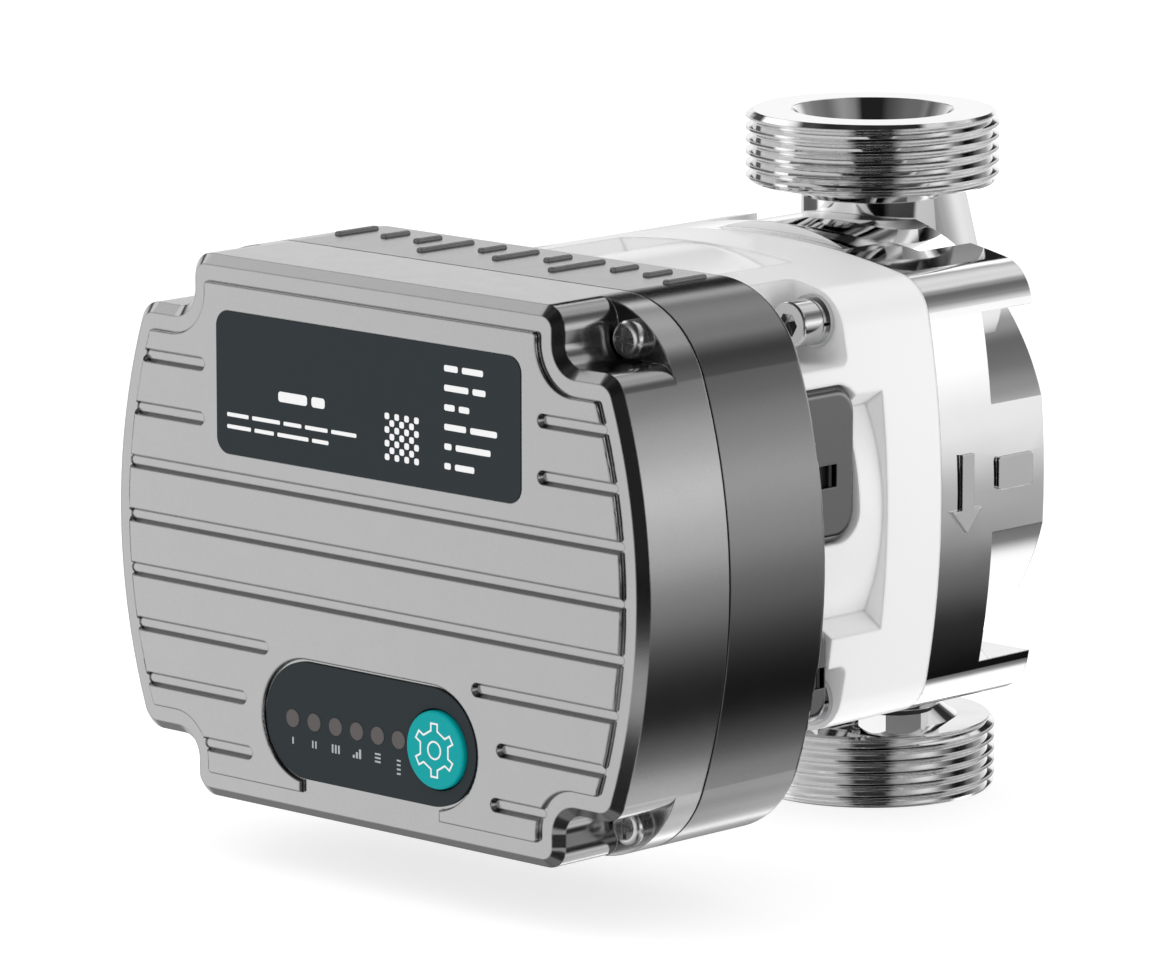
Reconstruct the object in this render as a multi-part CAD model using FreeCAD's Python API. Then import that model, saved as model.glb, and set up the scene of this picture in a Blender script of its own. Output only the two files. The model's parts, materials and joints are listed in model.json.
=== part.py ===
import FreeCAD, Part
import math
import os

# Wet-rotor circulator pump with an electronic control box, in millimetres.
# Modelling frame: the origin is where the port axis (Z) crosses the rotor axis (Y), +X is the side
# with the flow arrow, and the control box faces -Y. save() lifts every node so that the row's
# origin is the centre of the lower port's face.

V = FreeCAD.Vector
X_DIR = V(1, 0, 0)
Y_DIR = V(0, 1, 0)
Z_DIR = V(0, 0, 1)
SIGNS = ((1, 1), (-1, 1), (-1, -1), (1, -1))

# ---------------------------------------------------------------- pipe ports
PORT_SPAN = 130.0            # face to face
THREAD_R = 23.9              # G 1 1/2 external crest
THREAD_PITCH = 2.309         # 11 turns per inch
THREAD_DEPTH = 1.25
THREAD_CREST = 0.55
THREAD_TURNS = 7.5           # runs out through both ends of the collar
THREAD_ROOT = 0.3            # flat at the bottom of the groove
RING_LENGTH = 13.6
RING_CHAMFER = 1.0
FUNNEL_R = 15.4
FUNNEL_DEPTH = 11.0
PORT_BORE_R = 10.8
NECK_R = 13.4
PORT_FACE_Z = PORT_SPAN / 2
RING_BACK_Z = PORT_FACE_Z - RING_LENGTH

# ---------------------------------------------------------------- stations along the rotor axis
FACE_Y = -134.0              # rim of the front cover
PANEL_Y = -134.9             # raised panel of the front cover
POCKET_Y = -119.0            # floor of the corner pockets
COVER_BACK_Y = -112.2
SHELL_FRONT_Y = -111.8
SHELL_BACK_Y = -86.5
HOUSING_FRONT_Y = -86.0
HOUSING_STEP_Y = -46.5       # front of the motor flange
BOLT_SEAT_Y = -55.0
JOINT_Y = -31.5              # motor flange meets the volute
FLANGE_BACK_Y = -17.0
VOLUTE_BACK_Y = -2.7

# ---------------------------------------------------------------- flange and motor barrel
SQUARE_HALF_X = 45.5
SQUARE_HALF_Z = 44.7
SQUARE_SIDE_R = 170.0
SQUARE_CORNER_R = 8.6
BARREL_R = 44.3
BOLT_AT = 35.0
COLUMN_AT = 22.4             # inner side of the corner columns
POCKET_X = 29.5
POCKET_Z = 27.8
BOLT_R = 2.45
BOLT_CLEAR_R = 2.75
SPOT_FACE_R = 5.12

# ---------------------------------------------------------------- wet end and motor
CHAMBER_R = 35.0
DISC_R = 44.0
DISC_AT = (2.7, 2.9)
EYE_WALL_Y = (-12.0, -8.0)
EYE_R = 14.2
NECK_RING_R = 12.9
INLET_START = V(0, 5.1, 51.0)
INLET_SLOPE = 18.1           # degrees that the inlet tube leans back from the port axis
INLET_TUBE_R = 13.5
INLET_BORE_R = 10.0
ELBOW_BEND = 20.0            # centre-line radius of the elbow behind the impeller eye
ELBOW_COLLAR_R = 17.5
OUTLET_TOP = V(-4.0, -18.0, -30.0)
OUTLET_BOTTOM = V(0, -1.0, -54.0)
OUTLET_TUBE_R = 12.4
OUTLET_BORE_R = 9.6
DRAIN_AT = (18.5, -14.0)
CAVITY_R = 35.0
COUNTERBORE_R = 38.0
CAN_R = 17.4
CAN_WALL = 0.5
CAN_BACK_Y = -34.5           # rear of the can flange, where the bearing plate lies on it
CAN_END_Y = -81.5
CORE_R = 35.0
CORE_Y = (-76.0, -49.0)
TEETH = 6
TOOTH_HALF = 4.5
COIL_THICK = 3.6
SHAFT_R = 4.0
SHAFT_CLEAR = 0.05
ROTOR_R = 16.3
ROTOR_Y = (-75.0, -50.0)
BEARING_R = 8.0
IMPELLER_R = 28.0
IMPELLER_Y = (-28.5, -13.5)
VANES = 7

# ---------------------------------------------------------------- control box
BOX_Z = -2.35                # centre height of the box outline
BOX_HALF_X = 66.9
BOX_HALF_Z = 50.25
BOX_SIDE_R = 110.0
BOX_CORNER_R = 20.0
BOX_WALL = 2.5
NOTCH_X = 46.5
NOTCH_Z = 39.75              # measured from the box centre
NOTCH_R = 3.9
NOTCH_TOP_ROUND = 4.2
NOTCH_SIDE_ROUND = 4.8
RIM_CHAMFER = 1.8
PANEL_INSET = 4.7
COVER_SCREW = (50.4, 43.55)  # from the box centre
GROOVE_STEP = 10.05
GROOVE_TOP = 27.8
GROOVE_HALF = 1.3
GROOVE_FLOOR_HALF = 0.75
GROOVE_DEPTH = 1.15
# each row of grooves, from the top: inner and outer ends on the left, then on the right; a row
# that crosses the whole panel has no inner end
GROOVE_ROWS = ((-41.6, -58.2, 42.2, 58.6), (-41.8, -60.8, 42.2, 61.2), None, None, None,
               (-25.6, -60.9, 25.9, 61.2), (-31.4, -58.4, 32.0, 58.3), (-29.9, -43.6, 30.5, 43.8))
FULL_GROOVE_END = 62.7
RIB_STEP = 8.25
RIB_LENGTHS = (11.0, 6.2, 13.6, 6.2, 6.4, 10.0)
RIB_BACK_Y = -91.2
LABEL_X = 38.3
LABEL_Z = (12.2, 38.4)
DISPLAY_Z = -34.5
DISPLAY_HALF_X = 26.6
DISPLAY_HALF_Z = 10.8
LED_XS = (-19.7, -14.2, -8.7, -3.3, 2.0, 7.3)
LED_R = 1.65
BUTTON_AT = (17.1, -34.8)
BUTTON_R = 7.1
BUTTON_GAP = 0.35
BUTTON_TRAVEL = 0.6
BOARD_Y = (-125.6, -124.0)
BOX_SCREW = (22.0, 33.0)
GLAND_AT = (-100.0, -12.0)   # y and z of the cable gland on the -X side
GLAND_PAD_X = -68.2          # flat outside pad of the gland
GLAND_INNER_X = -62.5
GLAND_BORE_R = 3.75
GLAND_FLATS = 18.0
EAR_X = (40.2, 43.7)
EARS = ((-4.3, 24.3, -53.0, 5.5), (-37.0, -18.3, -60.2, 4.5))   # low z, high z, rear y, rounding
EAR_HOLES = ((5.9, 10.1, -66.4, -58.4), (-30.9, -27.0, -65.0, -61.4))
EAR_GAP = 0.3


# ---------------------------------------------------------------- shape helpers
def box(x0, x1, y0, y1, z0, z1):
    return Part.makeBox(x1 - x0, y1 - y0, z1 - z0, V(x0, y0, z0))


def cyl_y(radius, y0, y1, x=0.0, z=0.0):
    return Part.makeCylinder(radius, y1 - y0, V(x, y0, z), Y_DIR)


def ring_y(outer, inner, y0, y1, x=0.0, z=0.0):
    return cyl_y(outer, y0, y1, x, z).cut(cyl_y(inner, y0 - 1, y1 + 1, x, z))


def cyl_z(radius, z0, z1, x=0.0, y=0.0):
    return Part.makeCylinder(radius, z1 - z0, V(x, y, z0), Z_DIR)


def cyl_x(radius, x0, x1, y=0.0, z=0.0):
    return Part.makeCylinder(radius, x1 - x0, V(x0, y, z), X_DIR)


def tube(start, end, radius):
    run = end.sub(start)
    return Part.makeCylinder(radius, run.Length, start, run)


def fuse(shapes):
    return shapes[0].multiFuse(shapes[1:]).removeSplitter()


def group(shapes):
    return Part.makeCompound(shapes)


def face_of(edges):
    return Part.Face(Part.Wire(edges))


def prism_y(face, y0, y1):
    moved = face.copy()
    moved.translate(V(0, y0, 0))
    return moved.extrude(V(0, y1 - y0, 0))


def polygon_y(points, y0, y1):
    corners = [V(x, 0, z) for x, z in points]
    return prism_y(Part.Face(Part.makePolygon(corners + corners[:1])), y0, y1)


def polar(x, z, radius, angle):
    return V(x + radius * math.cos(angle), 0, z + radius * math.sin(angle))


def arc(x, z, radius, start, end):
    middle = (start + end) / 2
    points = [polar(x, z, radius, a) for a in (start, middle, end)]
    return Part.Arc(*points).toShape()


def edges_along_y(shape, wanted):
    """Straight edges parallel to Y whose place in the XZ plane passes the test."""
    found = []
    for edge in shape.Edges:
        if len(edge.Vertexes) != 2:
            continue
        a, b = (v.Point for v in edge.Vertexes)
        if abs(a.x - b.x) + abs(a.z - b.z) < 1e-4 and wanted(a.x, a.z):
            found.append(edge)
    return found


def edges_at_y(shape, y):
    """Edges that lie wholly in the plane at y."""
    low, high = y - 1e-3, y + 1e-3
    return [e for e in shape.Edges if low < e.BoundBox.YMin and e.BoundBox.YMax < high]


def stadium_face(x0, x1, z, half):
    return face_of([
        Part.makeLine(V(x0, 0, z + half), V(x1, 0, z + half)),
        arc(x1, z, half, math.pi / 2, -math.pi / 2),
        Part.makeLine(V(x1, 0, z - half), V(x0, 0, z - half)),
        arc(x0, z, half, -math.pi / 2, -3 * math.pi / 2)])


def hexagon_z(across_flats, z0, z1, x, y):
    radius = across_flats / math.sqrt(3)
    corners = [V(x + radius * math.cos(i * math.pi / 3), y + radius * math.sin(i * math.pi / 3), z0)
               for i in range(7)]
    return Part.Face(Part.makePolygon(corners)).extrude(V(0, 0, z1 - z0))


def hexagon_x(across_flats, x0, x1, y, z):
    radius = across_flats / math.sqrt(3)
    corners = [V(x0, y + radius * math.cos(i * math.pi / 3), z + radius * math.sin(i * math.pi / 3))
               for i in range(7)]
    return Part.Face(Part.makePolygon(corners)).extrude(V(x1 - x0, 0, 0))


def hexagon_y(across_flats, y0, y1, x, z):
    radius = across_flats / math.sqrt(3)
    corners = [V(x + radius * math.cos(i * math.pi / 3), y0, z + radius * math.sin(i * math.pi / 3))
               for i in range(7)]
    return Part.Face(Part.makePolygon(corners)).extrude(V(0, y1 - y0, 0))


def around_y(shape, count, first=0.0):
    copies = []
    for i in range(count):
        turned = shape.copy()
        turned.rotate(V(0, 0, 0), Y_DIR, first + 360.0 * i / count)
        copies.append(turned)
    return copies


def save(name, shape):
    lifted = shape.copy()
    lifted.translate(V(0, 0, PORT_FACE_Z))
    lifted.exportStep("parts/%s.step" % name)


# ---------------------------------------------------------------- flange outline
def square_prism(y0, y1, inset=0.0):
    """Square with bowed sides and rounded corners, shared by the motor flange and the volute."""
    radius = SQUARE_SIDE_R - inset
    shift_x = SQUARE_HALF_X - SQUARE_SIDE_R
    shift_z = SQUARE_HALF_Z - SQUARE_SIDE_R
    solid = cyl_y(radius, y0, y1, shift_x, 0)
    for x, z in ((-shift_x, 0), (0, shift_z), (0, -shift_z)):
        solid = solid.common(cyl_y(radius, y0, y1, x, z))
    corners = edges_along_y(solid, lambda x, z: abs(x) > 30 and abs(z) > 30)
    return solid.makeFillet(SQUARE_CORNER_R - inset, corners)


# ---------------------------------------------------------------- volute housing
def thread_groove(z):
    """Right-handed helical groove of the pipe thread, starting at height z."""
    path = Part.makeHelix(THREAD_PITCH, THREAD_TURNS * THREAD_PITCH, THREAD_R)
    path.translate(V(0, 0, z))
    half, root = (THREAD_PITCH - THREAD_CREST) / 2, THREAD_ROOT / 2
    over = 0.6
    wide = half + over * (half - root) / THREAD_DEPTH
    corners = [V(THREAD_R + over, 0, z + wide), V(THREAD_R - THREAD_DEPTH, 0, z + root),
               V(THREAD_R - THREAD_DEPTH, 0, z - root), V(THREAD_R + over, 0, z - wide)]
    profile = Part.makePolygon(corners + corners[:1])
    return Part.Wire(path).makePipeShell([profile], True, True)


def thread_ring():
    """Threaded collar of the upper port with its chamfered ends."""
    ring = cyl_z(THREAD_R, RING_BACK_Z, PORT_FACE_Z)
    rims = [e for e in ring.Edges if len(e.Vertexes) == 1]
    ring = ring.makeChamfer(RING_CHAMFER, rims)
    return ring.cut(thread_groove(RING_BACK_Z - 1.6))


def port_neck():
    """Upper neck: a short pipe that flares into the collar above it."""
    pipe = cyl_z(NECK_R, 38.0, RING_BACK_Z + 1)
    flare = Part.makeCone(NECK_R, NECK_R + 4.0, 3.0, V(0, 0, RING_BACK_Z - 3.0 + 0.5), Z_DIR)
    return pipe.fuse(flare)


def lower(shape):
    """The same piece at the lower port; turned, not mirrored, so its thread keeps its hand."""
    turned = shape.copy()
    turned.rotate(V(0, 0, 0), X_DIR, 180)
    return turned


def volute_body():
    """Spiral disc, mounting flange and corner bosses, without the ports."""
    block = square_prism(JOINT_Y, VOLUTE_BACK_Y)
    flange = square_prism(JOINT_Y, FLANGE_BACK_Y)
    disc = cyl_y(DISC_R, JOINT_Y + 2, VOLUTE_BACK_Y, *DISC_AT)
    reach = 60.0
    sides = cyl_y(SQUARE_SIDE_R, JOINT_Y, 0, SQUARE_HALF_X - SQUARE_SIDE_R, 0)
    sides = sides.common(cyl_y(SQUARE_SIDE_R, JOINT_Y, 0, SQUARE_SIDE_R - SQUARE_HALF_X, 0))
    pieces = [flange, disc.common(sides)]
    for sx, sz in SIGNS:
        low_x, high_x = sorted((sx * 27.0, sx * reach))
        low_z, high_z = sorted((sz * 32.8, sz * reach))
        pieces.append(block.common(box(low_x, high_x, JOINT_Y, VOLUTE_BACK_Y, low_z, high_z)))
    return fuse(pieces)


def inlet_path(radius):
    """Slanted tube from the upper port, bent round to meet the rotor axis from behind."""
    lean = math.radians(INLET_SLOPE)
    heading = V(0, math.sin(lean), -math.cos(lean))
    bend_z = ELBOW_BEND * (1 + math.sin(lean))
    run = (INLET_START.z - bend_z) / math.cos(lean)
    bend_start = INLET_START.add(V(heading).multiply(run))
    straight = Part.makeCylinder(radius, run, INLET_START, heading)
    centre = bend_start.add(V(0, heading.z, -heading.y).multiply(ELBOW_BEND))
    disc = Part.Face(Part.Wire(Part.makeCircle(radius, bend_start, heading)))
    bend = disc.revolve(centre, X_DIR, -(90 + INLET_SLOPE))
    return straight.fuse(bend)


def volute_elbow():
    """Inlet elbow with the collar where it runs into the back of the volute."""
    collar = cyl_y(ELBOW_COLLAR_R, VOLUTE_BACK_Y - 2, VOLUTE_BACK_Y + 3.5)
    collar = collar.makeFillet(1.5, edges_at_y(collar, VOLUTE_BACK_Y + 3.5))
    return collar.fuse(inlet_path(INLET_TUBE_R))


def volute_outlet():
    """Duct from the chamber down to the lower neck, with the pad that carries the drain plug."""
    duct = tube(OUTLET_TOP, OUTLET_BOTTOM, OUTLET_TUBE_R)
    web = box(-3.0, 3.0, -18.0, 4.0, -52.0, -40.0)
    return duct.fuse(web).fuse(cyl_z(8.2, -44.6, -38.0, *DRAIN_AT))


def flow_arrow():
    """Raised flow arrow and the blank raised plate beside it, on the +X side."""
    x0, x1 = 44.4, 46.1
    shaft = box(x0, x1, -26.4, -23.1, -2.7, 7.7)
    head = [V(x0, -29.0, -2.7), V(x0, -20.8, -2.7), V(x0, -24.8, -7.2), V(x0, -29.0, -2.7)]
    tip = Part.Face(Part.makePolygon(head)).extrude(V(x1 - x0, 0, 0))
    plate = box(x0 - 1, x1, -16.2, -6.5, -0.2, 6.0)
    ends = [e for e in plate.Edges if abs(e.BoundBox.XLength - (x1 - x0 + 1)) < 1e-6]
    return [shaft.fuse(tip), plate.makeFillet(0.7, ends)]


def volute_hollow():
    """Everything that the water fills inside the volute housing."""
    chamber = cyl_y(CHAMBER_R, JOINT_Y - 1, EYE_WALL_Y[0], 0.6, 0.6)
    eye = cyl_y(EYE_R, EYE_WALL_Y[0] - 1, EYE_WALL_Y[1])
    throat = Part.makeCone(EYE_R - 1.5, INLET_BORE_R - 2.0, 7.0, V(0, EYE_WALL_Y[1], 0), Y_DIR)
    hollow = [chamber, eye, throat, inlet_path(INLET_BORE_R)]
    for sign in (1, -1):
        throat_z = PORT_FACE_Z - FUNNEL_DEPTH
        mouth = Part.makeCone(PORT_BORE_R, FUNNEL_R, FUNNEL_DEPTH, V(0, 0, throat_z), Z_DIR)
        bore = cyl_z(PORT_BORE_R, throat_z - 6.0, throat_z)
        both = mouth.fuse(bore)
        hollow.append(both if sign == 1 else lower(both))
    hollow.append(tube(OUTLET_TOP, OUTLET_BOTTOM, OUTLET_BORE_R))
    return hollow


def volute_housing():
    pieces = [volute_body(), volute_elbow(), volute_outlet(), thread_ring(), lower(thread_ring()),
              port_neck(), lower(port_neck())]
    solid = fuse(pieces + flow_arrow())
    for tool in volute_hollow():
        solid = solid.cut(tool)
    for sx, sz in SIGNS:
        solid = solid.cut(cyl_y(BOLT_R + 0.03, JOINT_Y - 1, -9.0, sx * BOLT_AT, sz * BOLT_AT))
    solid = solid.cut(cyl_z(4.5, -46.0, -36.0, *DRAIN_AT))
    return solid.removeSplitter()


def neck_ring():
    return ring_y(EYE_R, NECK_RING_R, EYE_WALL_Y[0], EYE_WALL_Y[1])


def housing_gasket():
    return ring_y(COUNTERBORE_R - 0.2, CHAMBER_R + 1.0, JOINT_Y - 0.8, JOINT_Y)


def drain_plug():
    """Hexagon plug screwed up into the underside of the volute."""
    head = hexagon_z(12.0, -50.0, -45.6, *DRAIN_AT)
    chamfer = Part.makeCone(5.6, 8.2, 2.6, V(*DRAIN_AT, -50.0), Z_DIR)
    chamfer = chamfer.fuse(cyl_z(8.2, -47.4, -45.6, *DRAIN_AT))
    shank = cyl_z(4.5, -45.6, -36.5, *DRAIN_AT)
    return head.common(chamfer).fuse(shank).removeSplitter()


def drain_washer():
    return cyl_z(7.4, -45.6, -44.6, *DRAIN_AT).cut(cyl_z(4.5, -46, -44, *DRAIN_AT))


# ---------------------------------------------------------------- motor housing
def column(sx, sz):
    """Corner column section: its inner sides slope down onto the barrel."""
    near, edge, lip, far = 19.3, 39.9, 44.4, 60.0
    points = [(15, 15), (near, edge), (COLUMN_AT, lip), (COLUMN_AT + 0.4, far), (far, far),
              (far, COLUMN_AT + 0.4), (lip, COLUMN_AT), (edge, near)]
    wedge = polygon_y([(sx * x, sz * z) for x, z in points], HOUSING_FRONT_Y, HOUSING_STEP_Y)
    return wedge.common(square_prism(HOUSING_FRONT_Y, HOUSING_STEP_Y))


def bolt_pocket(sx, sz):
    """Open corner notch that takes a bolt head, with rounded inner corners."""
    low_x, high_x = sorted((sx * POCKET_X, sx * 60.0))
    low_z, high_z = sorted((sz * POCKET_Z, sz * 60.0))
    tool = box(low_x, high_x, HOUSING_FRONT_Y - 5, BOLT_SEAT_Y, low_z, high_z)
    inner = [e for e in tool.Edges if abs(abs(e.BoundBox.Center.x) - POCKET_X) < 1e-3
             or abs(abs(e.BoundBox.Center.z) - POCKET_Z) < 1e-3]
    inner = [e for e in inner if e.BoundBox.YMax > BOLT_SEAT_Y - 1e-3]
    return tool.makeFillet(1.8, inner)


def ear(side, low, high, rear, rounding, grow=0.0):
    """Locking plate that reaches back from the control box over the side of the motor; with a
    gap to grow by, the pocket that it lies in."""
    x0, x1 = EAR_X[0] - grow, EAR_X[1] + grow * 10
    y1 = rear + grow
    block = box(x0, x1, SHELL_BACK_Y - grow, y1, low - grow, high + grow)
    corners = [e for e in block.Edges if e.BoundBox.XLength > 1 and e.BoundBox.YMin > y1 - 1e-3]
    block = block.makeFillet(rounding + grow, corners)
    if grow == 0.0:
        rim = [e for e in block.Edges if e.BoundBox.XMin > x1 - 1e-3
               and e.BoundBox.YMax > SHELL_BACK_Y + 1]
        block = block.makeFillet(1.6, rim)
    return block if side > 0 else block.mirror(V(0, 0, 0), X_DIR)


def motor_housing():
    solid = fuse([cyl_y(BARREL_R, HOUSING_FRONT_Y, HOUSING_STEP_Y + 1),
                  square_prism(HOUSING_STEP_Y, JOINT_Y)]
                 + [column(sx, sz) for sx, sz in SIGNS])
    for sx, sz in SIGNS:
        solid = solid.cut(bolt_pocket(sx, sz))
        x, z = sx * BOLT_AT, sz * BOLT_AT
        solid = solid.cut(cyl_y(SPOT_FACE_R, BOLT_SEAT_Y - 2.5, BOLT_SEAT_Y, x, z))
        solid = solid.cut(cyl_y(BOLT_CLEAR_R, BOLT_SEAT_Y - 5, JOINT_Y + 1, x, z))
    for x, z in box_screw_spots():
        solid = solid.cut(cyl_y(2.0, HOUSING_FRONT_Y - 1, -76.0, x, z))
    for side in (1, -1):
        for low, high, rear, rounding in EARS:
            solid = solid.cut(ear(side, low, high, rear, rounding, EAR_GAP))
    solid = solid.cut(cyl_y(CAVITY_R, HOUSING_FRONT_Y + 3.0, JOINT_Y + 1))
    solid = solid.cut(cyl_y(COUNTERBORE_R, CAN_BACK_Y - 2.0, JOINT_Y + 1))
    solid = solid.cut(cyl_y(10.0, HOUSING_FRONT_Y - 1, HOUSING_FRONT_Y + 5))
    return solid.removeSplitter()


def at_bolts(shape):
    copies = []
    for sx, sz in SIGNS:
        moved = shape.copy()
        moved.translate(V(sx * BOLT_AT, 0, sz * BOLT_AT))
        copies.append(moved)
    return group(copies)


def housing_bolts():
    """M5 socket head cap screws."""
    seat = BOLT_SEAT_Y - 2.2
    head = cyl_y(4.3, seat - 5.0, seat)
    head = head.makeFillet(0.5, edges_at_y(head, seat - 5.0))
    head = head.cut(hexagon_y(4.0, seat - 6.0, seat - 2.4, 0, 0))
    return at_bolts(head.fuse(cyl_y(BOLT_R, seat, -12.0)).removeSplitter())


def bolt_washers():
    return at_bolts(ring_y(4.95, BOLT_R + 0.1, BOLT_SEAT_Y - 1.0, BOLT_SEAT_Y))


def spring_washers():
    """Split lock washers, each with its gap turned outwards."""
    washer = ring_y(4.4, BOLT_R + 0.1, BOLT_SEAT_Y - 2.2, BOLT_SEAT_Y - 1.0)
    return at_bolts(washer.cut(box(2, 6, BOLT_SEAT_Y - 3, BOLT_SEAT_Y, -0.3, 0.3)))


# ---------------------------------------------------------------- wet motor
def bearing_plate():
    plate = cyl_y(COUNTERBORE_R - 0.2, CAN_BACK_Y, JOINT_Y - 0.8)
    hub = cyl_y(13.0, -46.0, CAN_BACK_Y + 0.5)
    solid = plate.fuse(hub).cut(cyl_y(BEARING_R, -47, JOINT_Y))
    for hole in around_y(cyl_y(1.5, -47, JOINT_Y, 10.6, 0), 4, 45):
        solid = solid.cut(hole)
    return solid.removeSplitter()


def radial_bearing(y0, y1):
    ring = ring_y(BEARING_R, SHAFT_R + SHAFT_CLEAR, y0, y1)
    for groove in around_y(box(SHAFT_R - 1, SHAFT_R + 0.7, y0 - 1, y1 + 1, -0.6, 0.6), 3):
        ring = ring.cut(groove)
    return ring


def rotor_can():
    """Thin stainless cup that keeps the water out of the windings."""
    flange = cyl_y(COUNTERBORE_R - 0.2, CAN_BACK_Y - 2.0, CAN_BACK_Y)
    solid = flange.fuse(cyl_y(CAN_R, CAN_END_Y, CAN_BACK_Y - 1))
    return solid.cut(cyl_y(CAN_R - CAN_WALL, CAN_END_Y + 1.0, CAN_BACK_Y + 1)).removeSplitter()


def bearing_carrier():
    return ring_y(CAN_R - CAN_WALL, BEARING_R, CAN_END_Y + 1.0, CAN_END_Y + 5.0)


def tooth(half, y0, y1, inner, outer):
    return box(inner, outer, y0, y1, -half, half)


def stator_core():
    """Laminated core: a yoke and teeth with wide shoes."""
    yoke = ring_y(CORE_R, CORE_R - 5.0, *CORE_Y)
    inner = CAN_R + 0.25
    shoe = ring_y(inner + 2.2, inner, *CORE_Y).common(tooth(7.6, *CORE_Y, 5, 40))
    arm = tooth(TOOTH_HALF, *CORE_Y, 15, CORE_R - 4.0).cut(cyl_y(inner + 0.5, -90, -40))
    return fuse([yoke] + around_y(shoe.fuse(arm), TEETH))


def stator_insulators():
    liner = tooth(TOOTH_HALF + 0.4, CORE_Y[0] - 0.8, CORE_Y[1] + 0.8, 20.6, 29.5)
    return group(around_y(liner.cut(tooth(TOOTH_HALF, *CORE_Y, 10, 40)), TEETH))


def stator_coils():
    half = TOOTH_HALF + 0.4
    outer = tooth(half + COIL_THICK, CORE_Y[0] - 5.0, CORE_Y[1] + 5.0, 21.0, 28.5)
    long_edges = [e for e in outer.Edges if e.BoundBox.XLength > 1]
    outer = outer.makeFillet(3.0, long_edges)
    return group(around_y(outer.cut(tooth(half, CORE_Y[0] - 0.8, CORE_Y[1] + 0.8, 10, 40)), TEETH))


def phase_pins(radius, y0, y1):
    angles = [math.radians(a) for a in (90, 210, 330)]
    return [cyl_y(radius, y0, y1, 4 * math.cos(a), 4 * math.sin(a)) for a in angles]


def stator_connector():
    """Plug that carries the three phases through the motor end wall into the control box."""
    body = cyl_y(8.6, -93.0, -82.5)
    flange = cyl_y(12.0, HOUSING_FRONT_Y + 3.0, HOUSING_FRONT_Y + 4.0)
    return fuse([body, flange] + phase_pins(0.7, -99.0, -92.0))


# ---------------------------------------------------------------- rotor and impeller
def shaft():
    solid = cyl_y(SHAFT_R, -80.0, -11.5)
    return solid.makeChamfer(0.5, edges_at_y(solid, -80.0) + edges_at_y(solid, -11.5))


def rotor_core():
    return ring_y(12.0, SHAFT_R, *ROTOR_Y)


def rotor_magnets():
    """Six tile magnets on the core."""
    ring = ring_y(15.7, 12.0, ROTOR_Y[0] + 1.0, ROTOR_Y[1] - 1.0)
    gap = box(11.0, 17.0, -90, -40, -0.4, 0.4)
    for cutter in around_y(gap, 6, 30):
        ring = ring.cut(cutter)
    return group(ring.Solids)


def rotor_sleeve():
    return ring_y(ROTOR_R, 15.7, *ROTOR_Y)


def rotor_end_caps():
    return group([ring_y(15.7, 12.0, ROTOR_Y[0], ROTOR_Y[0] + 1.0),
                  ring_y(15.7, 12.0, ROTOR_Y[1] - 1.0, ROTOR_Y[1])])


def thrust_collar():
    return ring_y(7.5, SHAFT_R, ROTOR_Y[1], -46.4)


def impeller_hub():
    """Back plate and hub of the impeller."""
    y0, y1 = IMPELLER_Y
    plate = cyl_y(IMPELLER_R, y0, y0 + 1.8)
    cone = Part.makeCone(12.0, 6.6, 9.0, V(0, y0 + 1.0, 0), Y_DIR)
    return plate.fuse(cone).cut(cyl_y(SHAFT_R, y0 - 1, y1)).removeSplitter()


def impeller_vanes():
    """Backward curved vanes between the back plate and the shroud."""
    y0, y1 = IMPELLER_Y[0] + 1.8, IMPELLER_Y[1] - 5.0
    bend = 24.0
    centre_x, centre_z = 15.0, -20.0
    blade = ring_y(bend + 0.7, bend - 0.7, y0, y1, centre_x, centre_z)
    annulus = ring_y(IMPELLER_R, 13.5, y0, y1)
    piece = blade.common(annulus).common(box(0, 40, y0, y1, 0, 40))
    return group([s for copy in around_y(piece, VANES) for s in copy.Solids])


def impeller_shroud():
    """Front cover of the impeller with its eye collar."""
    y1 = IMPELLER_Y[1]
    plate = ring_y(IMPELLER_R, 10.8, y1 - 5.0, y1 - 3.2)
    collar = ring_y(12.5, 10.8, y1 - 3.3, y1 + 4.0)
    return plate.fuse(collar).removeSplitter()


def impeller_nut():
    nut = hexagon_y(10.0, IMPELLER_Y[0] + 10.0, IMPELLER_Y[0] + 14.0, 0, 0)
    return nut.cut(cyl_y(SHAFT_R, -40, 0))


# ---------------------------------------------------------------- control box outline
def outline_face(inset):
    """Outline of the control box, pulled in by inset: flat top, bowed sides, round corners."""
    side_x = BOX_HALF_X - BOX_SIDE_R
    corner_z = BOX_HALF_Z - BOX_CORNER_R
    corner_x = side_x + math.sqrt((BOX_SIDE_R - BOX_CORNER_R) ** 2 - corner_z ** 2)
    turn = math.atan2(corner_z, corner_x - side_x)
    side_r, corner_r = BOX_SIDE_R - inset, BOX_CORNER_R - inset
    top, bottom = BOX_Z + BOX_HALF_Z - inset, BOX_Z - BOX_HALF_Z + inset
    high, low = BOX_Z + corner_z, BOX_Z - corner_z
    return face_of([
        Part.makeLine(V(-corner_x, 0, top), V(corner_x, 0, top)),
        arc(corner_x, high, corner_r, math.pi / 2, turn),
        arc(side_x, BOX_Z, side_r, turn, -turn),
        arc(corner_x, low, corner_r, -turn, -math.pi / 2),
        Part.makeLine(V(corner_x, 0, bottom), V(-corner_x, 0, bottom)),
        arc(-corner_x, low, corner_r, -math.pi / 2, turn - math.pi),
        arc(-side_x, BOX_Z, side_r, math.pi + turn, math.pi - turn),
        arc(-corner_x, high, corner_r, math.pi - turn, math.pi / 2)])


def box_prism(y0, y1, inset=0.0):
    return prism_y(outline_face(inset), y0, y1)


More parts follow.
